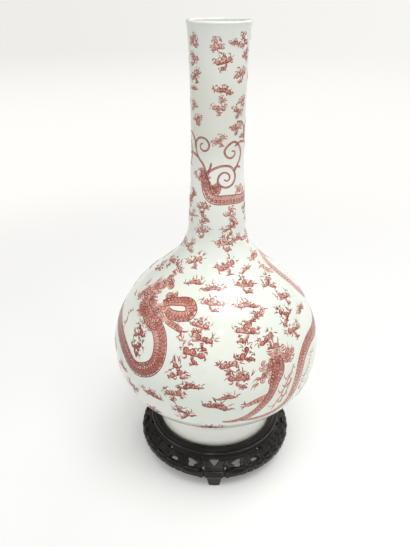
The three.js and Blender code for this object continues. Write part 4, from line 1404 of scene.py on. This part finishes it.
def floor_finish():
    """A white sheet. As seen, its shadows are lifted, less under the stand, and far off it is a painted
    grey shade, darker to the left.
    """
    material = bpy.data.materials.new("pale floor")
    material.use_nodes = True
    tree = material.node_tree
    tree.nodes.clear()
    rays = tree.nodes.new("ShaderNodeLightPath")
    seen = calculate(tree, "ADD", rays.outputs["Is Camera Ray"], rays.outputs["Is Glossy Ray"], clamp=True)
    seen = calculate(tree, "ADD", seen, rays.outputs["Is Transmission Ray"], clamp=True)
    plain = wire(tree, "BsdfDiffuse", {"Color": srgb(*SHEET)})
    shaded = wire(tree, "BsdfDiffuse", {"Color": SHEET_AS_SEEN})
    place = object_place(tree)
    side = wire(tree, "SeparateXYZ", {0: place}, output=0)
    distance = wire(tree, "VectorMath", {0: place}, output=1, operation="LENGTH")
    # Painted shade under the stand: the lift is weaker there.
    clear = between(tree, distance, *STAND_SHADE)
    lift_power = calculate(tree, "MULTIPLY_ADD", clear, LIFT_ADDED_BESIDE, LIFT_UNDER_STAND)
    lift = wire(tree, "Emission", {"Color": LIFT_COLOUR, "Strength": lift_power})
    bright = wire(tree, "AddShader", {0: shaded, 1: lift})
    # Painted shade of the backdrop: grey far off, darker to the left.
    to_right = between(tree, calculate(tree, "DIVIDE", side, distance), *BACKDROP_BEARINGS)
    grey = mix_colours(tree, to_right, srgb(*BACKDROP_SHADE_LEFT), srgb(*BACKDROP_SHADE_RIGHT))
    far_colour = mix_colours(tree, between(tree, distance, *BACKDROP_FADES), srgb(*BACKDROP_NEAR), grey)
    far = wire(tree, "Emission", {"Color": far_colour, "Strength": 1.0})
    near = wire(tree, "MixShader", {0: between(tree, distance, *FLOOR_FADES), 1: bright, 2: far})
    both = wire(tree, "MixShader", {0: seen, 1: plain, 2: near})
    output = tree.nodes.new("ShaderNodeOutputMaterial")
    tree.links.new(both, output.inputs["Surface"])
    return material


corner_angle = np.arange(FLOOR_CORNERS) * 2 * np.pi / FLOOR_CORNERS
floor_points = FLOOR_RADIUS * np.stack([np.cos(corner_angle), np.sin(corner_angle), 0 * corner_angle], -1)
floor_mesh = bpy.data.meshes.new("floor")
floor_mesh.from_pydata(floor_points.tolist(), [], [list(range(FLOOR_CORNERS))])
floor_mesh.materials.append(floor_finish())
put_in_scene("floor", floor_mesh)


# Soft light from a wide skylight and from windows round the room, small bright panes that glint in the
# glaze, and a white room all round. Each light is (name, place, width, height, power) and faces the body
# of the vase.
BODY_CENTRE = (0, 0, 0.18)
for name, place, width, height, power in (
    ("skylight", (0.2, -0.3, 1.5), 0.9, 0.9, 14.6),
    ("right window", (1.1, -0.3, 0.8), 0.8, 0.8, 0.8),
    ("left window", (-1.1, -0.6, 0.8), 0.9, 0.9, 2),
    ("back window", (0.7, 1.0, 1.1), 0.9, 0.8, 5.5),
    ("front window", (-0.2, -1.3, 0.45), 0.9, 0.9, 1.0),
    ("upper pane", (0.554, -0.525, 1.171), 0.1, 0.07, 0.7),
    ("right pane", (0.956, -0.194, 0.962), 0.07, 0.06, 0.4),
    ("front pane", (0.122, -0.956, 0.998), 0.07, 0.05, 0.4),
    ("left pane", (-1.089, -0.054, 0.782), 0.06, 0.06, 0.3),
):
    light = bpy.data.lights.new(name, "AREA")
    light.shape = "RECTANGLE"
    light.size = width
    light.size_y = height
    light.energy = power
    lamp = put_in_scene(name, light)
    lamp.location = place
    lamp.rotation_euler = (Vector(BODY_CENTRE) - Vector(place)).to_track_quat("-Z", "Y").to_euler()

room = bpy.data.worlds.new("white room")
room.use_nodes = True
bpy.context.scene.world = room
sky = room.node_tree
rays = sky.nodes.new("ShaderNodeLightPath")
room_light = wire(sky, "Background", {"Color": (1.0, 1.0, 0.99, 1.0), "Strength": 0.34})
room_seen = wire(sky, "Background", {"Color": srgb(244, 243, 239), "Strength": 1.0})
choice = wire(sky, "MixShader", {0: rays.outputs["Is Camera Ray"], 1: room_light, 2: room_seen})
sky.links.new(choice, sky.nodes["World Output"].inputs["Surface"])


# The camera stands in front of the vase, a little above its mouth, and looks down at its shoulder. Its
# place and lens were fitted to the ellipses of the mouth, the foot and the stand.
PHOTO_HEIGHT = 547
FOCAL_PIXELS = 554
CAMERA_PLACE = (0, -0.4697, 0.4525)
CAMERA_PITCH = 28.0
CAMERA_YAW = 1.33
lens = bpy.data.cameras.new("camera")
lens.sensor_width = 36
lens.lens = FOCAL_PIXELS / PHOTO_HEIGHT * lens.sensor_width
lens.clip_start = 0.02
camera = put_in_scene("camera", lens)
camera.location = CAMERA_PLACE
camera.rotation_euler = np.radians((90 - CAMERA_PITCH, 0, CAMERA_YAW)).tolist()
bpy.context.scene.camera = camera
bpy.context.scene.view_settings.view_transform = "Standard"
